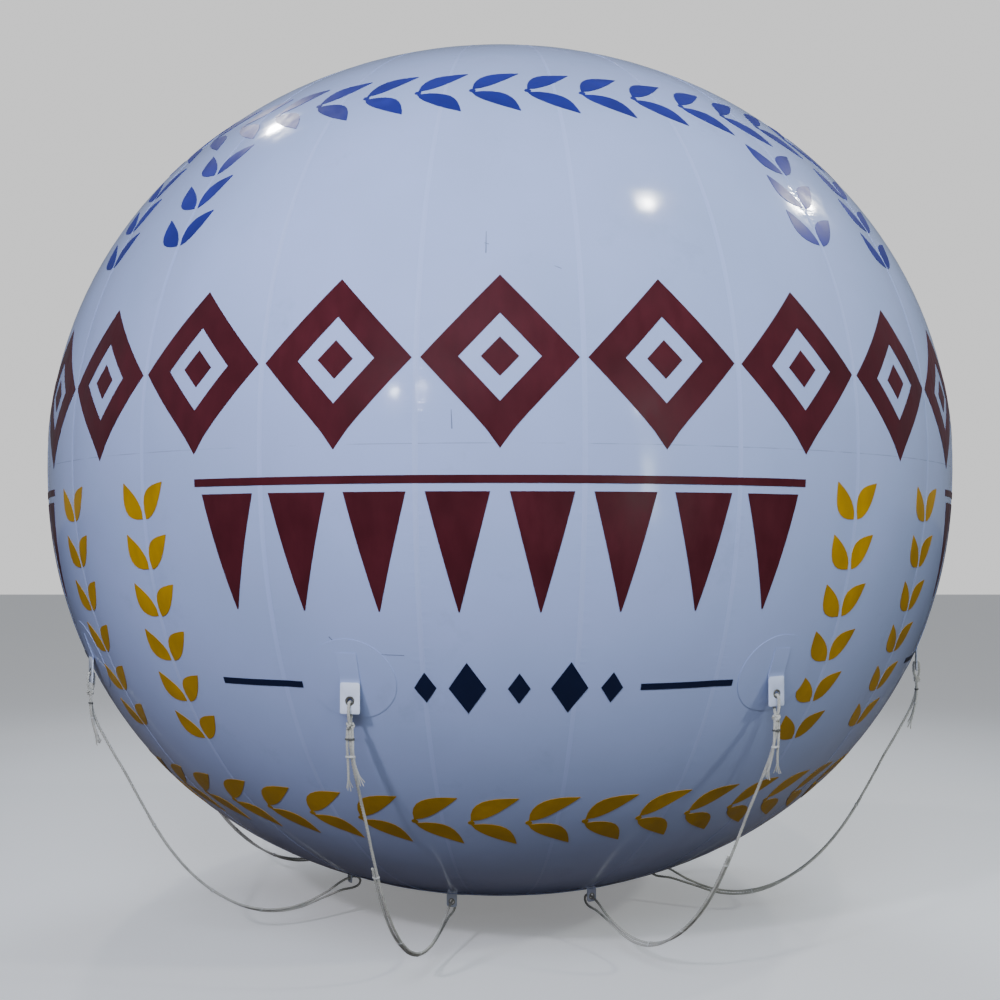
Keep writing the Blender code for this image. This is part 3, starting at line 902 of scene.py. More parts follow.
def strip(name, key, width, thickness, foot, azimuth, columns, rows):
    """Strips from cap to cap, one for each gore, the first at an azimuth, with its lift at the foot."""
    low = chart_y_at_radius(BOTTOM_CAP_RADIUS, lower=True)
    high = chart_y_at_radius(TOP_CAP_RADIUS, lower=False)
    sizes = {
        "Width": width,
        "Length": high - low,
        "Thickness": thickness,
        "Middle": (math.radians(azimuth) * EQUATOR_RADIUS, (low + high) / 2, foot + thickness / 2),
        "Columns": columns,
        "Rows": rows,
        "Valley": bpy.context.scene.balloon_film.valley,
    }
    piece = set_round(name, bpy.data.meshes.new("empty"), key, GORES, tree="strips", sizes=sizes)
    return piece


def tab_azimuths():
    """Where the tabs stand, in degrees."""
    return [FIRST_TAB_AZIMUTH + 360 / TABS * i for i in range(TABS)]


class BALLOON_OT_stage(bpy.types.Operator):
    """Camera at the photograph's angle, a plain pale floor and soft light"""

    bl_idname = "balloon.stage"
    bl_label = "Stage"

    def execute(self, context):
        stage = context.scene.balloon_stage
        self.add_camera(stage)
        self.add_floor(stage)
        self.add_lights(stage)
        return {"FINISHED"}

    def add_camera(self, stage):
        camera = linked("camera", bpy.data.cameras.new("camera"))
        camera.location = (0.0, -stage.camera_distance, stage.camera_height)
        camera.rotation_euler = (math.pi / 2 + stage.camera_pitch, 0.0, 0.0)
        camera.data.lens = stage.lens
        camera.data.sensor_width = SENSOR_WIDTH
        camera.data.clip_end = FAR_CLIP
        bpy.context.scene.camera = camera

    def add_floor(self, stage):
        pale = Finish("pale_floor")
        pale.dress({
            "Base Color": pale.pale_to_camera(stage.floor_colour, stage.floor_bounce),
            "Emission Color": pale.pale_to_camera(stage.floor_glow, (0.0, 0.0, 0.0)),
            "Emission Strength": 1.0,
            "Roughness": 0.6,
        })
        half, z = FLOOR_SIZE / 2, stage.floor_height
        square = [(-half, -half, z), (half, -half, z), (half, half, z), (-half, half, z)]
        mesh = bpy.data.meshes.new("floor")
        mesh.from_pydata(square, [], [(0, 1, 2, 3)])
        mesh.materials.append(pale.material)
        linked("floor", mesh)

    def add_lights(self, stage):
        world = bpy.data.worlds.new("studio")
        world.use_nodes = True
        wires = Wiring(world.node_tree)
        seen = wires.pale_to_camera(stage.backdrop_colour, stage.room_light)
        wires.plug(seen, world.node_tree.nodes["Background"].inputs["Color"])
        bpy.context.scene.world = world
        # name, place, watts, width, height, colour, whether the film mirrors it
        lamps = [
            ("front_lamp", (-0.6, -7.4, 3.9), 150.0, 3.2, 3.2, (0.74, 0.85, 1.0), False),
            ("back_lamp", (0.6, 7.2, 4.5), 150.0, 3.2, 3.2, (0.80, 0.88, 1.0), False),
            ("left_key", (-2.97, -6.6, 2.55), 78.0, 0.35, 0.35, (0.86, 0.86, 1.0), False),
            ("right_key", (5.5, -4.5, 2.55), 42.0, 0.35, 0.35, (0.94, 1.0, 0.96), False),
            ("right_lamp", (2.64, -2.73, 5.04), 16.0, 0.24, 0.24, (1.0, 1.0, 0.96), True),
            ("crown_lamp", (-2.84, 1.51, 4.71), 15.0, 0.24, 0.24, (1.0, 1.0, 1.0), True),
            ("side_lamp", (4.22, 0.71, 4.03), 14.0, 0.24, 0.24, (1.0, 1.0, 0.94), True),
            ("small_lamp", (3.6, -6.9, 1.25), 5.0, 0.12, 0.12, (1.0, 1.0, 1.0), True),
            ("left_small_lamp", (-2.45, -7.28, 1.62), 4.0, 0.12, 0.12, (0.9, 0.95, 1.0), True),
            ("tall_lamp", (4.5, -8.0, -0.75), 9.0, 0.5, 2.0, (0.85, 1.0, 0.95), True),
        ]
        for name, place, watts, width, height, colour, mirrored in lamps:
            lamp = bpy.data.lights.new(name, "AREA")
            lamp.energy = watts
            lamp.shape = "RECTANGLE"
            lamp.size, lamp.size_y = width, height
            lamp.color = colour
            lamp.spread = math.radians(LAMP_SPREAD)
            item = linked(name, lamp)
            item.visible_camera = False
            item.visible_glossy = mirrored
            item.location = place
            item.rotation_euler = (-Vector(place)).to_track_quat("-Z", "Y").to_euler()


def smooth_route(route, step):
    """Points at even steps on a smooth curve through the route's own points."""
    samples_per_span = 12
    fixed = np.array(route)
    ghosts = np.vstack([2 * fixed[0] - fixed[1], fixed, 2 * fixed[-1] - fixed[-2]])
    fine = []
    for before, start, stop, after in zip(ghosts, ghosts[1:], ghosts[2:], ghosts[3:]):
        slope, bend = stop - before, 2 * before - 5 * start + 4 * stop - after
        twist = 3 * start - before - 3 * stop + after
        for share in np.linspace(0, 1, samples_per_span, endpoint=False):
            fine.append(0.5 * (2 * start + slope * share + bend * share**2 + twist * share**3))
    fine = np.array([*fine, fixed[-1]])
    lengths = np.concatenate([[0.0], np.cumsum(np.linalg.norm(np.diff(fine, axis=0), axis=1))])
    even = np.linspace(0, lengths[-1], round(lengths[-1] / step) + 1)
    return np.stack([np.interp(even, lengths, fine[:, i]) for i in range(fine.shape[1])], axis=1)


def laid_rope(name, points, closed=False, diameter=None, key="rope", step=ROPE_STEP):
    """A laid rope along points, as a plain mesh object."""
    tether = bpy.context.scene.balloon_tether
    last = len(points) - 1
    edges = [(i, i + 1) for i in range(last)] + ([(last, 0)] if closed else [])
    line = bpy.data.meshes.new("line")
    line.from_pydata([tuple(point) for point in points], edges, [])
    across = diameter or tether.diameter
    values = {
        "Diameter": across,
        "Lay": tether.lay * across / tether.diameter,
        "Step": step,
        "Material": material(key),
    }
    return smooth(grown(name, line, "rope", values), 60.0)


def turned_copy(item, name, azimuth):
    """A copy of an object turned about the axis, with its place in its mesh."""
    mesh = item.data.copy()
    mesh.name = name
    mesh.transform(Matrix.Rotation(math.radians(azimuth), 4, "Z"))
    return linked(name, mesh)


def joined(name, items):
    """Several objects' meshes and materials as one object. The objects are taken away."""
    shape, slots = bmesh.new(), []
    for item in items:
        start, offset = len(shape.faces), len(slots)
        slots += item.data.materials
        shape.from_mesh(item.data)
        shape.faces.ensure_lookup_table()
        for face in shape.faces[start:]:
            face.material_index += offset
        bpy.data.objects.remove(item, do_unlink=True)
    mesh = mesh_from(shape, name)
    for slot in slots:
        mesh.materials.append(slot)
    return linked(name, mesh)


def bound(centre, across, aside, half_across, half_aside, key="twine"):
    """Turns of twine round strands. across and aside are unit vectors square to the strands."""
    twine, count, per_turn = 0.0022, 3, 24
    pitch = 0.9 * twine
    along = across.cross(aside)
    points = []
    for i in range(count * per_turn + 1):
        turn = 2 * math.pi * i / per_turn
        reach = across * (half_across * math.cos(turn)) + aside * (half_aside * math.sin(turn))
        points.append(centre + reach + along * (pitch * (i / per_turn - count / 2)))
    return laid_rope("binding", points, diameter=twine, key=key, step=0.002)


class BALLOON_OT_ropes(bpy.types.Operator):
    """The eight slack ropes, from their knots to their lugs and back a way beside themselves"""

    bl_idname = "balloon.ropes"
    bl_label = "Ropes"

    def execute(self, context):
        diameter = context.scene.balloon_tether.diameter
        line = [Vector((0.0, -radius, z)) for radius, z in smooth_route(ROPE_ROUTE, LINE_STEP)]
        back = self.way_back(line, diameter)
        rope = laid_rope("rope", line)
        returned = laid_rope("returned", back)
        seizings = joined("seizings", self.seizings(line, back, diameter))
        for number, azimuth in enumerate(tab_azimuths(), 1):
            piece = turned_copy(rope, f"laid_rope_{number}", azimuth)
            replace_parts(piece, f"rope_{number}")
            hitch = bpy.data.objects[f"tied_hitch_{number}"]
            self.declare(piece, line, azimuth, diameter, "object", [hitch])
            twine = turned_copy(seizings, f"rope_seizings_{number}", azimuth)
            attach(twine, "envelope")
            piece = turned_copy(returned, f"returned_rope_{number}", azimuth)
            self.declare(piece, back, azimuth, diameter, "bare", [twine])
        for item in (rope, returned, seizings):
            bpy.data.objects.remove(item, do_unlink=True)
        return {"FINISHED"}

    def declare(self, piece, line, azimuth, diameter, far_end, with_pieces):
        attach(piece, "envelope")

    def way_back(self, line, diameter):
        """The centre of the rope's way back from its lug: under the rope first, then at its side."""
        apart, slack, under_share, stride = 1.08 * diameter, 0.22, 0.45, 4
        points = [Vector((0.0, -radius, z)) for radius, z in RETURN_ROUTE]
        beside = [i for i, at in enumerate(line) if RETURN_FROM_RADIUS <= -at.y <= RETURN_TO_RADIUS]
        beside = beside[::stride][::-1]
        across = Vector((1.0, 0.0, 0.0))
        for step, i in enumerate(beside):
            along = (line[min(i + 1, len(line) - 1)] - line[i - 1]).normalized()
            below = along.cross(across)
            share = step / (len(beside) - 1)
            turn = math.pi / 2 * (1 - min(1.0, share / under_share))
            gap = apart * (1 + slack * math.sin(math.pi * share) ** 2)
            points.append(line[i] + gap * (below * math.sin(turn) - across * math.cos(turn)))
        return [Vector(point) for point in smooth_route(points, LINE_STEP)]

    def seizings(self, line, back, diameter):
        """Twine that ties the way back to the rope, at steps counted from its end."""
        over_ends, over_sides = 0.58 * diameter, 0.62 * diameter
        made = []
        for from_end in (3, 32, 50):
            point = back[-1 - from_end]
            partner = min(line, key=lambda other: (other - point).length)
            along = (back[-from_end] - back[-2 - from_end]).normalized()
            across = (partner - point).normalized()
            aside = along.cross(across).normalized()
            half = (partner - point).length / 2 + over_ends
            made.append(bound((point + partner) / 2, across, aside, half, over_sides))
        return made


class BALLOON_OT_hitches(bpy.types.Operator):
    """The loop through each tab's eye, its knot, the rope's two tails and the twine round them"""

    bl_idname = "balloon.hitches"
    bl_label = "Hitches"

    def execute(self, context):
        diameter = context.scene.balloon_tether.diameter
        parts = [self.loop(), self.knot(), self.stem(), *self.tails(diameter), *self.bindings(diameter)]
        hitch = joined("hitch", parts)
        for number, azimuth in enumerate(tab_azimuths(), 1):
            piece = turned_copy(hitch, f"tied_hitch_{number}", azimuth)
            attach(piece, "envelope")
            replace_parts(piece, f"rope_hitch_{number}")
        bpy.data.objects.remove(hitch, do_unlink=True)
        return {"FINISHED"}

    def loop(self):
        """The rope through the eye, in the plane across the tab."""
        lip = EYE_Z - EYE_RADIUS
        # distance outwards from the tab's middle, height over the eye's lower lip
        outline = [
            (0.0105, -0.0033), (0.0074, 0.0041), (0.0, 0.0072), (-0.0074, 0.0041), (-0.0105, -0.0033),
            (-0.0108, -0.020), (-0.0098, -0.036), (-0.0050, -0.052), (0.0, -0.058), (0.0050, -0.052),
            (0.0098, -0.036), (0.0108, -0.020),
        ]
        points = [(0.0, -TAB_PLANE_RADIUS - out, lip + up) for out, up in outline]
        fine = smooth_route(points + points[:1], 0.004)[:-1]
        return laid_rope("loop", fine, closed=True, step=0.003)

    def knot(self):
        """A round knot under the tab, on a trefoil's line."""
        centre, size, height = Vector((0.0, -TAB_PLANE_RADIUS, -0.858)), 0.0036, 1.7
        points = []
        for t in turns(60):
            x = math.sin(t) + 2 * math.sin(2 * t)
            y = math.cos(t) - 2 * math.cos(2 * t)
            points.append(centre + size * Vector((x, y, -height * math.sin(3 * t))))
        return laid_rope("knot", points, closed=True, diameter=0.0088, step=0.003)

    def stem(self):
        """The rope's start, from inside the knot to where it hangs free."""
        return laid_rope("stem", [(0.0, -TAB_PLANE_RADIUS, z) for z in (-0.850, -0.858, -0.866, -0.8745)])

    def tails(self, diameter):
        """The rope's two ends, laid along it, splayed and frayed at their tips."""
        # sideways, outwards, height
        routes = {
            "left_tail": [
                (-0.0070, 0.0, -0.862), (-0.0088, 0.0, -0.890), (-0.0088, -0.002, -0.930),
                (-0.0090, -0.008, -0.962), (-0.0105, -0.015, -0.990), (-0.0130, -0.024, -1.022),
            ],
            "right_tail": [
                (0.0070, 0.0, -0.862), (0.0088, 0.0, -0.890), (0.0088, -0.002, -0.930),
                (0.0100, -0.007, -0.960), (0.0140, -0.013, -0.984), (0.0205, -0.020, -1.008),
            ],
        }
        step, tail, made = 0.006, 0.86 * diameter, []
        for name, route in routes.items():
            points = smooth_route([(x, -TAB_PLANE_RADIUS - out, z) for x, out, z in route], step)
            made.append(laid_rope(name, points, diameter=tail))
            made += self.frayed(Vector(points[-3]), Vector(points[-1]), 0.24 * diameter)
        return made

    def frayed(self, before, tip, ring):
        """Loose yarns that splay from a ring in a rope's cut end, each with its own length and splay."""
        yarns, yarn, sunk, sag = 6, 0.0034, 0.004, 0.004
        along = (tip - before).normalized()
        aside = along.orthogonal().normalized()
        made = []
        for i, turn in enumerate(turns(yarns, 0.3)):
            out = Matrix.Rotation(turn, 3, along) @ aside
            reach = 0.022 + 0.009 * ((i * 5) % 7) / 7
            spread = 0.16 + 0.30 * ((i * 3) % 5) / 5
            points = []
            for share in np.linspace(0.0, 1.0, 6):
                bend = out * (ring + reach * spread * share**1.6)
                drop = Vector((0.0, 0.0, -sag * share**2))
                points.append(tip + along * (reach * share - sunk) + bend + drop)
            made.append(laid_rope("yarn", points, diameter=yarn, step=0.004))
        return made

    def bindings(self, diameter):
        """Turns of twine round the rope and its two tails."""
        across, aside = Vector((1.0, 0.0, 0.0)), Vector((0.0, 1.0, 0.0))
        half_width, half_depth = 1.48 * diameter, 0.72 * diameter
        made = []
        for z, inwards, key in ((-0.897, 0.0005, "mark"), (-0.949, 0.0060, "twine")):
            centre = Vector((0.0, -TAB_PLANE_RADIUS + inwards, z))
            made.append(bound(centre, across, aside, half_width, half_depth, key))
        return made


class BALLOON_OT_gores(bpy.types.Operator):
    """The gores of film and the welded band over each seam"""

    bl_idname = "balloon.gores"
    bl_label = "Gores and seams"

    def execute(self, context):
        film = context.scene.balloon_film
        width = 2 * math.pi * EQUATOR_RADIUS / GORES - SEAM_GAP
        gores = strip(
            "film_gores", "film", width, WALL, foot=-WALL, azimuth=0.0, columns=film.columns, rows=film.rows
        )
        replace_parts(gores, *[f"gore_{i + 1:02d}" for i in range(GORES)])
        on_seam = {"foot": 0.0, "azimuth": 180 / GORES, "columns": 4, "rows": film.rows}
        ridge_width = 0.28 * film.seam_width
        strip("seam_bands", "weld", film.seam_width, film.seam_rise / 2, **on_seam)
        strip("seam_ridges", "weld", ridge_width, film.seam_rise, **on_seam)
        return {"FINISHED"}


def cap_rings(start, stop, count, lower):
    """Rings of a round cap on the chart, from one distance from the axis to another."""
    sides = 96
    heights = [chart_y_at_radius(radius, lower) for radius in np.linspace(start, stop, count)]
    return [[(turn * EQUATOR_RADIUS, y) for turn in turns(sides)] for y in heights]


class BALLOON_OT_caps(bpy.types.Operator):
    """The round caps over the gores' ends, each with its welded rim"""

    bl_idname = "balloon.caps"
    bl_label = "Pole caps"

    def execute(self, context):
        crown, belly = Slabs(-WALL, 0.0), Slabs(-WALL, 0.0)
        pole, first_ring = (0.0, math.pi / 2 * EQUATOR_RADIUS), 0.03
        crown.disc(cap_rings(first_ring, TOP_CAP_RADIUS - SEAM_GAP, count=12, lower=False), pole)
        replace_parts(skinned("crown_cap", crown, "cap", 1), "top_cap")
        belly.disc(cap_rings(VALVE_HOLE_RADIUS, BOTTOM_CAP_RADIUS - SEAM_GAP, count=20, lower=True))
        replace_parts(skinned("belly_cap", belly, "cap", 1), "bottom_cap")
        rims = (("crown_rim", TOP_CAP_RADIUS, False), ("belly_rim", BOTTOM_CAP_RADIUS, True))
        for name, radius, lower in rims:
            rim = Slabs(0.0, RIM_THICKNESS)
            rim.disc(cap_rings(radius - RIM_HALF_WIDTH, radius + RIM_HALF_WIDTH, count=5, lower=lower))
            skinned(name, rim, "weld", 1)
        return {"FINISHED"}


def outline_point(turn, top, foot, half, corner):
    """Where a ray from an eye meets a rounded rectangle, given its edges' distances from the eye."""
    side, rise = math.cos(turn), math.sin(turn)
    edge = top if rise > 0 else foot
    reach = min(half / max(abs(side), 1e-9), edge / max(abs(rise), 1e-9))
    centre_x, centre_z = half - corner, edge - corner
    if abs(reach * side) > centre_x and abs(reach * rise) > centre_z:
        # on the corner's arc: solve for the ray's way to the circle round the corner's centre
        dot_product = centre_x * abs(side) + centre_z * abs(rise)
        apart = centre_x**2 + centre_z**2 - corner**2
        reach = dot_product + math.sqrt(max(dot_product**2 - apart, 0.0))
    return reach * side, reach * rise


def eyed_plate(y, eye, eye_radius, low, high, half_width, thickness, corner, sides=64):
    """An upright plate round an eye, facing outwards at y, with rounded corners and edges."""
    edge = min(0.0012, thickness / 3)
    # distance inwards from the outline and from the eye's rim, and height off the plate's middle
    steps = [(0.0, thickness / 2 - edge), (edge * 0.3, thickness / 2 - edge * 0.3), (edge, thickness / 2)]
    halves = []
    for side in (1, -1):
        rings = []
        for inset, depth in steps:
            edges = (high - eye - inset, eye - low - inset, half_width - inset, corner)
            rings.append([(outline_point(turn, *edges), side * depth) for turn in turns(sides, 0.5)])
        for inset, depth in steps[::-1]:
            reach = eye_radius + inset
            ring = [(reach * math.cos(turn), reach * math.sin(turn)) for turn in turns(sides, 0.5)]
            rings.append([(point, side * depth) for point in ring])
        halves.append([[(x, y + depth, eye + z) for (x, z), depth in ring] for ring in rings])
    return Shells().rings(halves[0] + halves[1][::-1]).mesh()


def eyelet(y, z, thickness, rim, tube, flat):
    """Two metal rings round an eye, one on each face of its plate, flattened against it."""
    sides, around = 48, 10
    made = Shells()
    for side in (-1, 1):
        rings = []
        for turn in turns(sides):
            rings.append([
                (
                    (rim + tube * math.cos(roll)) * math.cos(turn),
                    y + side * thickness / 2 + tube * flat * math.sin(roll),
                    z + (rim + tube * math.cos(roll)) * math.sin(turn),
                )
                for roll in turns(around)
            ])
        made.rings(rings)
    return made.mesh()


def round_patch(y, reaches, sides, thickness):
    """A patch on the chart that is round on the skin, about a middle at x 0."""
    patch, rings = Slabs(0.0, thickness), []
    for reach in reaches:
        offsets = [(reach * math.cos(turn), y + reach * math.sin(turn)) for turn in turns(sides)]
        rings.append([(x * spread_at(at), at) for x, at in offsets])
    patch.disc(rings, (0.0, y))
    return patch


class BALLOON_OT_tabs(bpy.types.Operator):
    """The round patches, the folded strips that hang from them and their eyelets"""

    bl_idname = "balloon.tabs"
    bl_label = "Tabs"

    def execute(self, context):
        tether = context.scene.balloon_tether
        thick, into_fold = tether.tab_thickness, 0.002
        patch = round_patch(
            chart_y(PATCH_Z), reaches=np.linspace(0.02, PATCH_RADIUS, 8), sides=64,
            thickness=tether.patch_thickness,
        )
        plate = eyed_plate(
            -TAB_PLANE_RADIUS, EYE_Z, EYE_RADIUS, low=TAB_BOTTOM_Z, high=TAB_BEND_Z + into_fold,
            half_width=TAB_WIDTH / 2, thickness=thick, corner=0.004,
        )
        pieces = [
            skinned("round_patches", patch, "patch", TABS, FIRST_TAB_AZIMUTH),
            set_round("tab_straps", self.strap(tether), "patch", TABS, FIRST_TAB_AZIMUTH),
            set_round("hanging_tabs", plate, "tab", TABS, FIRST_TAB_AZIMUTH),
        ]
        for piece in pieces:
            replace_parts(piece, *[f"tether_tab_{i + 1}" for i in range(TABS)])
        rings = eyelet(-TAB_PLANE_RADIUS, EYE_Z, thick, rim=0.0117, tube=0.0028, flat=0.42)
        pieces.append(set_round("tab_eyelets", rings, "eyelet", TABS, FIRST_TAB_AZIMUTH))
        return {"FINISHED"}

    def strap(self, tether):
        """The strip that is welded to the patch and leaves it for the fold, thinner at its upper end."""
        free_z, fold_z = TAB_BASE_TOP_Z - 0.06, TAB_BEND_Z - 0.004
        thin_half, added_half = 0.12 * tether.tab_thickness, 0.38 * tether.tab_thickness
        rows = []
        for z in np.linspace(TAB_BASE_TOP_Z, fold_z, 10):
            blend = max(0.0, (free_z - z) / (free_z - fold_z))
            welded = min(1.0, (TAB_BASE_TOP_Z - z) / (TAB_BASE_TOP_Z - TAB_BEND_Z))
            half = thin_half + added_half * welded
            radius, height = skin_at(chart_y(z), tether.patch_thickness + half)
            rows.append((radius + (TAB_PLANE_RADIUS - radius) * blend**2, height, half))
        columns = [TAB_WIDTH * (column / 6 - 0.5) for column in range(7)]
        outer, inner = [
            [[(x, side * half - radius, z) for x in columns] for radius, z, half in rows]
            for side in (-1, 1)
        ]
        return Shells().plate(outer, inner).mesh()


class BALLOON_OT_lugs(bpy.types.Operator):
    """The small lugs on the belly cap that hold the ropes' far ends"""

    bl_idname = "balloon.lugs"
    bl_label = "Rope lugs"

    def execute(self, context):
        sunk, patch_shift = 0.006, 0.006
        top = skin_at(chart_y_at_radius(LUG_RADIUS, lower=True))[1] + sunk
        plate = eyed_plate(
            -LUG_RADIUS, LUG_EYE_Z, LUG_EYE_RADIUS, low=LUG_FOOT_Z, high=top, half_width=LUG_WIDTH / 2,
            thickness=LUG_THICKNESS, corner=0.010, sides=48,
        )
        lugs = set_round("rope_lugs", plate, "tab", TABS, FIRST_TAB_AZIMUTH)
        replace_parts(lugs, "bottom_cap")
        rings = eyelet(-LUG_RADIUS, LUG_EYE_Z, LUG_THICKNESS, rim=0.0104, tube=0.0017, flat=0.55)
        set_round("lug_eyelets", rings, "eyelet", TABS, FIRST_TAB_AZIMUTH)
        middle = chart_y_at_radius(LUG_RADIUS - patch_shift, lower=True)
        patch = round_patch(
            middle, reaches=(0.010, 0.022, 0.034, 0.042), sides=40, thickness=LUG_PATCH_THICKNESS
        )
        skinned("lug_patches", patch, "weld", TABS, FIRST_TAB_AZIMUTH)
        return {"FINISHED"}


def turned(profile, sides):
    """A shape turned about the axis from (radius, z) points: a closed outline, or one from pole to pole."""
    rings = [
        [(radius * math.sin(turn), -radius * math.cos(turn), z) for turn in turns(sides)]
        for radius, z in profile
        if radius
    ]
    poles = [(0.0, 0.0, z) for radius, z in profile if not radius]
    return Shells().rings(rings, poles).mesh()


def across_hinge(mesh):
    """Lays a shape that was turned about the balloon's axis along the hinge's axis."""
    mesh.transform(Matrix.Translation((0.0, HINGE_Y, HINGE_Z)) @ Matrix.Rotation(math.pi / 2, 4, "Y"))
    return mesh


def bevelled_block(low, high, bevel):
    """A block between two corners with rounded edges."""
    shape = bmesh.new()
    bmesh.ops.create_cube(shape, size=1.0)
    low, high = Vector(low), Vector(high)
    bmesh.ops.scale(shape, vec=high - low, verts=shape.verts)
    bmesh.ops.translate(shape, vec=(low + high) / 2, verts=shape.verts)
    bmesh.ops.bevel(shape, geom=shape.edges, offset=bevel, segments=2, affect="EDGES")
    return mesh_from(shape)


def fitted(name, meshes, body, node):
    """A piece of the valve from several meshes, on its body and in place of its node."""
    shape = bmesh.new()
    for mesh in meshes:
        shape.from_mesh(mesh)
    whole = outwards(mesh_from(shape, name))
    whole.materials.append(material("valve"))
    piece = smooth(linked(name, whole))
    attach(piece, body)
    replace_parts(piece, node)


class BALLOON_OT_valve(bpy.types.Operator):
    """The filling valve under the belly and its hinged lid"""

    bl_idname = "balloon.valve"
    bl_label = "Filling valve"

    def execute(self, context):
        sides = context.scene.balloon_valve.sides
        fitting = [self.fitting(sides), *self.hinge_ears(), *self.rivets()]
        fitted("valve_fitting", fitting, "envelope", "valve_body")
        fitted("valve_cover", self.cover(sides), "valve_lid", "valve_lid")
        return {"FINISHED"}

    def fitting(self, sides):
        """Tube, flange and collar with rounded edges."""
        bore, tube, flange = VALVE_BORE_RADIUS, VALVE_TUBE_RADIUS, VALVE_FLANGE_RADIUS
        outline = [
            (bore, VALVE_TOP_Z), (tube, VALVE_TOP_Z), (tube, FLANGE_TOP_Z),
            (flange - 0.001, FLANGE_TOP_Z), (flange, FLANGE_TOP_Z - 0.0012),
            (flange - 0.002, FLANGE_FOOT_Z + 0.0008), (flange - 0.005, FLANGE_FOOT_Z),
            (flange - 0.008, FLANGE_FOOT_Z), (flange - 0.010, FLANGE_FOOT_Z + 0.0008),
            (tube + 0.008, FLANGE_FOOT_Z + 0.0008), (tube + 0.004, FLANGE_FOOT_Z),
            (tube + 0.0005, FLANGE_FOOT_Z - 0.001), (tube, COLLAR_FOOT_Z + 0.001),
            (tube - 0.001, COLLAR_FOOT_Z), (bore + 0.0006, COLLAR_FOOT_Z), (bore, COLLAR_FOOT_Z + 0.0006),
        ]
        return turned(outline, sides)

    def hinge_ears(self):
        """Two ears and the pin between them."""
        near, far, half, pin_radius, pin_half = 0.008, 0.012, 0.005, 0.002, 0.0122
        pieces = []
        for side in (-1, 1):
            left, right = sorted((side * near, side * far))
            low = (left, HINGE_Y - half, HINGE_Z - half)
            pieces.append(bevelled_block(low, (right, HINGE_Y + half, FLANGE_FOOT_Z + 0.002), 0.0008))
        pin = [(0.0, -pin_half), (pin_radius, -pin_half), (pin_radius, pin_half), (0.0, pin_half)]
        return [*pieces, across_hinge(turned(pin, 24))]

    def rivets(self):
        """Round heads in the flange."""
        reach, radius = 0.066, 0.0042
        top, foot = FLANGE_FOOT_Z + 0.0012, FLANGE_FOOT_Z - 0.0012
        outline = [(0.0, top), (radius, top), (radius, foot + 0.0010), (0.0030, foot + 0.0003), (0.0, foot)]
        heads = []
        for turn in turns(8, 0.5):
            head = turned(outline, 20)
            head.transform(Matrix.Translation((reach * math.sin(turn), -reach * math.cos(turn), 0.0)))
            heads.append(head)
        return heads

    def cover(self, sides):
        """The lid with a raised rim, its tongue, barrel and finger tab."""
        top, foot, radius = LID_TOP_Z, LID_FOOT_Z, LID_RADIUS
        outline = [
            (0.0, top), (radius - 0.001, top), (radius, top - 0.001), (radius, foot + 0.0012),
            (radius - 0.0012, foot), (radius - 0.006, foot), (radius - 0.0075, foot + 0.0015),
            (0.016, foot + 0.0015), (0.014, foot + 0.0005), (0.0, foot + 0.0005),
        ]
        tongue_end = (0.006, HINGE_Y - 0.003, top - 0.0005)
        tongue = bevelled_block((-0.006, 0.040, foot + 0.0005), tongue_end, 0.0006)
        outer, inner, half = 0.005, 0.0024, 0.006
        barrel = across_hinge(turned([(outer, -half), (outer, half), (inner, half), (inner, -half)], 28))
        tab = bevelled_block((-0.011, -0.060, foot + 0.0016), (0.011, -0.047, top - 0.0014), 0.0010)
        return [turned(outline, sides), tongue, barrel, tab]


QUARTERS = 4
LEAF_PITCH = 7.5
LEAF_GAP = 0.012
RING_LEAN = 40.0
DOT_RADIUS = 0.011
GARLAND_AZIMUTH = 37.5
GARLAND_GAP = 0.010
GARLAND_LEAN = 52.0


def chart_x(azimuth):
    """The chart's x at an azimuth in degrees."""
    return math.radians(azimuth) * EQUATOR_RADIUS


def stretch(points, middle):
    """Moves points about a chart's middle so that they keep their width on the skin."""
    x0, y0 = middle
    return [(x0 + (x - x0) * spread_at(y0), y) for x, y in points]


def leaf(foot, direction, length, half_width):
    """Rows of a pointed leaf from its foot, growing in a direction in degrees from +x."""
    least, curve = 0.0012, 0.10
    turn = math.radians(direction)
    along, aside = (math.cos(turn), math.sin(turn)), (-math.sin(turn), math.cos(turn))
    rows = []
    for share in np.linspace(0.0, 1.0, 9):
        half = max(least, half_width * math.sin(math.pi * share**0.85) ** 0.9)
        bend = curve * length * math.sin(math.pi * share)
        x, y = [foot[i] + along[i] * length * share + aside[i] * bend for i in (0, 1)]
        rows.append(stretch([(x + aside[0] * half * k, y + aside[1] * half * k) for k in (1, 0, -1)], foot))
    return rows


def dot(middle, radius):
    """The ring of a round dot about its middle."""
    ring = [(middle[0] + radius * math.cos(turn), middle[1] + radius * math.sin(turn)) for turn in turns(20)]
    return [stretch(ring, middle)]


def diamond(middle, half_width, half_height, shares):
    """Closed rings of a diamond about its middle, each a share of its full size."""
    tips = [(half_width, 0.0), (0.0, half_height), (-half_width, 0.0), (0.0, -half_height)]
    per_side, outline = 6, []
    for (x0, y0), (x1, y1) in zip(tips, tips[1:] + tips[:1]):
        steps = [i / per_side for i in range(per_side)]
        outline += [(x0 + (x1 - x0) * step, y0 + (y1 - y0) * step) for step in steps]
    rings = [[(middle[0] + x * share, middle[1] + y * share) for x, y in outline] for share in shares]
    return [stretch(ring, middle) for ring in rings]


def fresh_paint():
    """Slabs as thick as the paint."""
    return Slabs(PAINT_FOOT, bpy.context.scene.balloon_print.lift)


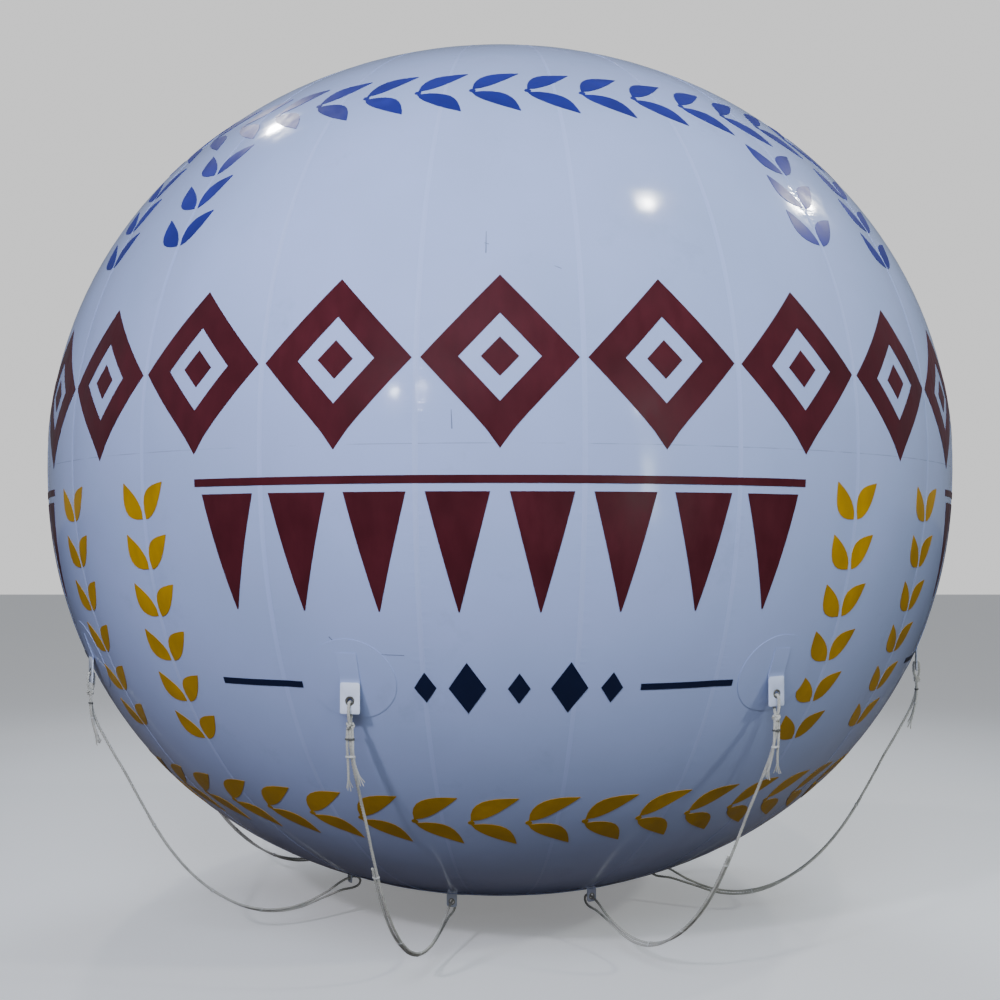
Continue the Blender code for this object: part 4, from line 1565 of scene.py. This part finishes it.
class BALLOON_OT_print(bpy.types.Operator):
    """Painted ornament: leaf rings, a belt of diamonds, pennants and fine lines"""

    bl_idname = "balloon.print"
    bl_label = "Print"

    def execute(self, context):
        self.wreath(
            "crown", height=1.13, leaf_size=(0.198, 0.036),
            span=(0.56, 0.96), pairs=3, small_leaf_size=(0.165, 0.034),
        )
        self.belt()
        self.pennants()
        self.lines()
        self.wreath(
            "belly", height=-1.20, leaf_size=(0.190, 0.037),
            span=(-1.02, -0.17), pairs=6, small_leaf_size=(0.140, 0.034),
        )
        self.marks()
        return {"FINISHED"}

    def wreath(self, key, height, leaf_size, span, pairs, small_leaf_size):
        """A ring of leaf pairs and dots, and on each quarter two garlands over a span of heights."""
        ring, y = fresh_paint(), chart_y(height)
        count = round(360 / GORES / LEAF_PITCH)
        for i in range(count):
            x = (i - (count - 1) / 2) * chart_x(LEAF_PITCH)
            for side in (1, -1):
                ring.band(leaf((x, y + side * LEAF_GAP), side * RING_LEAN, *leaf_size))
            ring.disc(dot((x, y), DOT_RADIUS), (x, y))
        skinned(f"{key}_ring_print", ring, key, GORES)
        garlands = fresh_paint()
        low, high = chart_y(span[0]), chart_y(span[1])
        for x in (-chart_x(GARLAND_AZIMUTH), chart_x(GARLAND_AZIMUTH)):
            for i in range(pairs):
                y = low + (high - low) * (i + 0.5) / pairs
                garlands.band(leaf((x + GARLAND_GAP, y), GARLAND_LEAN, *small_leaf_size))
                garlands.band(leaf((x - GARLAND_GAP, y), 180 - GARLAND_LEAN, *small_leaf_size))
        skinned(f"{key}_garland_print", garlands, key, QUARTERS)

    def belt(self):
        """One framed diamond on each gore."""
        slab = fresh_paint()
        low, high = chart_y(-0.06), chart_y(0.44)
        middle, half = (0.0, (low + high) / 2), (high - low) / 2
        slab.disc(diamond(middle, half_width=0.226, half_height=half, shares=(1.0, 0.84, 0.68, 0.52)))
        slab.disc(diamond(middle, half_width=0.054, half_height=0.062, shares=(0.5, 1.0)), middle)
        skinned("belt_print", slab, "belt", GORES)

    def pennants(self):
        """A row of pennants on their line, on each quarter."""
        count, pitch, half_width, tip = 8, chart_x(7.5), 0.090, 0.002
        slab = fresh_paint()
        high, low = chart_y(-0.18), chart_y(-0.52)
        for i in range(count):
            x = (i - (count - 1) / 2) * pitch
            rows = []
            for share in np.linspace(0.0, 1.0, 9):
                half = (half_width * (1 - share) + tip) * spread_at(high)
                rows.append([(x + half * k, high + (low - high) * share) for k in (-1, -0.5, 0, 0.5, 1)])
            slab.band(rows)
        foot, top, reach = high + 0.022, high + 0.044, count / 2 * pitch
        slab.band([[(x, foot), (x, top)] for x in np.linspace(-reach, reach, 49)])
        skinned("pennant_print", slab, "belt", QUARTERS)

    def lines(self):
        """Fine lines and small diamonds between the tabs, on each quarter."""
        slab, y, half_width = fresh_paint(), chart_y(-0.745), 0.011
        for start, stop in ((-30.3, -20.4), (14.2, 24.6)):
            ends = np.linspace(chart_x(start), chart_x(stop), 13)
            slab.band([[(x, y - half_width), (x, y + half_width)] for x in ends])
        for azimuth, size in ((-7.4, 0.6), (-3.2, 1.0), (1.9, 0.6), (6.9, 1.0), (11.2, 0.6)):
            middle = (chart_x(azimuth), y)
            rings = diamond(middle, 0.055 * size, 0.090 * size, shares=(0.35, 0.7, 1.0))
            slab.disc(rings, middle)
        skinned("line_print", slab, "line", QUARTERS)

    def marks(self):
        """Faint pencil ticks on the front."""
        slab = Slabs(PAINT_FOOT, PENCIL_THICKNESS)
        # azimuth in degrees and height of both ends, width at both ends
        ticks = [
            ((-1.33, 0.577), (-1.33, 0.508), (0.0016, 0.0030)),
            ((-1.50, 0.540), (-1.05, 0.536), (0.0012, 0.0020)),
            ((-4.28, 0.048), (-4.20, -0.006), (0.0014, 0.0024)),
            ((-16.0, -0.642), (-9.2, -0.648), (0.0012, 0.0012)),
            ((-16.6, -0.596), (-15.9, -0.618), (0.0030, 0.0014)),
            ((5.10, 0.470), (5.75, 0.462), (0.0014, 0.0014)),
        ]
        for start, stop, widths in ticks:
            start, stop = [np.array((chart_x(azimuth), chart_y(z))) for azimuth, z in (start, stop)]
            along = (stop - start) / np.linalg.norm(stop - start)
            aside = np.array([-along[1], along[0]])
            rows = []
            for share in np.linspace(0.0, 1.0, 7):
                half = (widths[0] + (widths[1] - widths[0]) * share) / 2
                rows.append([tuple(start + (stop - start) * share + aside * half * k) for k in (-1, 1)])
            slab.band(rows)
        skinned("pencil_marks", slab, "pencil", 1)


OPERATORS = [
    BALLOON_OT_stage,
    BALLOON_OT_hitches,
    BALLOON_OT_ropes,
    BALLOON_OT_gores,
    BALLOON_OT_caps,
    BALLOON_OT_tabs,
    BALLOON_OT_lugs,
    BALLOON_OT_valve,
    BALLOON_OT_print,
]


class BALLOON_PT_panel(bpy.types.Panel):
    """Lists the balloon's operators"""

    bl_idname = "BALLOON_PT_panel"
    bl_label = "Sky Balloon"
    bl_space_type = "VIEW_3D"
    bl_region_type = "UI"
    bl_category = "Balloon"

    def draw(self, context):
        for operator in OPERATORS:
            self.layout.operator(operator.bl_idname)


SETTINGS = {
    "balloon_film": FilmSettings,
    "balloon_print": PrintSettings,
    "balloon_tether": TetherSettings,
    "balloon_valve": ValveSettings,
    "balloon_stage": StageSettings,
}


def register():
    for name, settings in SETTINGS.items():
        bpy.utils.register_class(settings)
        setattr(bpy.types.Scene, name, PointerProperty(type=settings))
    for shown in (*OPERATORS, BALLOON_PT_panel):
        bpy.utils.register_class(shown)


def unregister():
    for shown in (BALLOON_PT_panel, *reversed(OPERATORS)):
        bpy.utils.unregister_class(shown)
    for name, settings in SETTINGS.items():
        delattr(bpy.types.Scene, name)
        bpy.utils.unregister_class(settings)


def clear_start_up():
    """Takes out Blender's own start-up objects."""
    for name in ("Cube", "Light", "Camera"):
        item = bpy.data.objects.get(name)
        if item:
            bpy.data.objects.remove(item, do_unlink=True)


def main():
    clear_start_up()
    register()
    for operator in OPERATORS:
        group, name = operator.bl_idname.split(".")
        getattr(getattr(bpy.ops, group), name)()


if __name__ == "__main__":
    main()
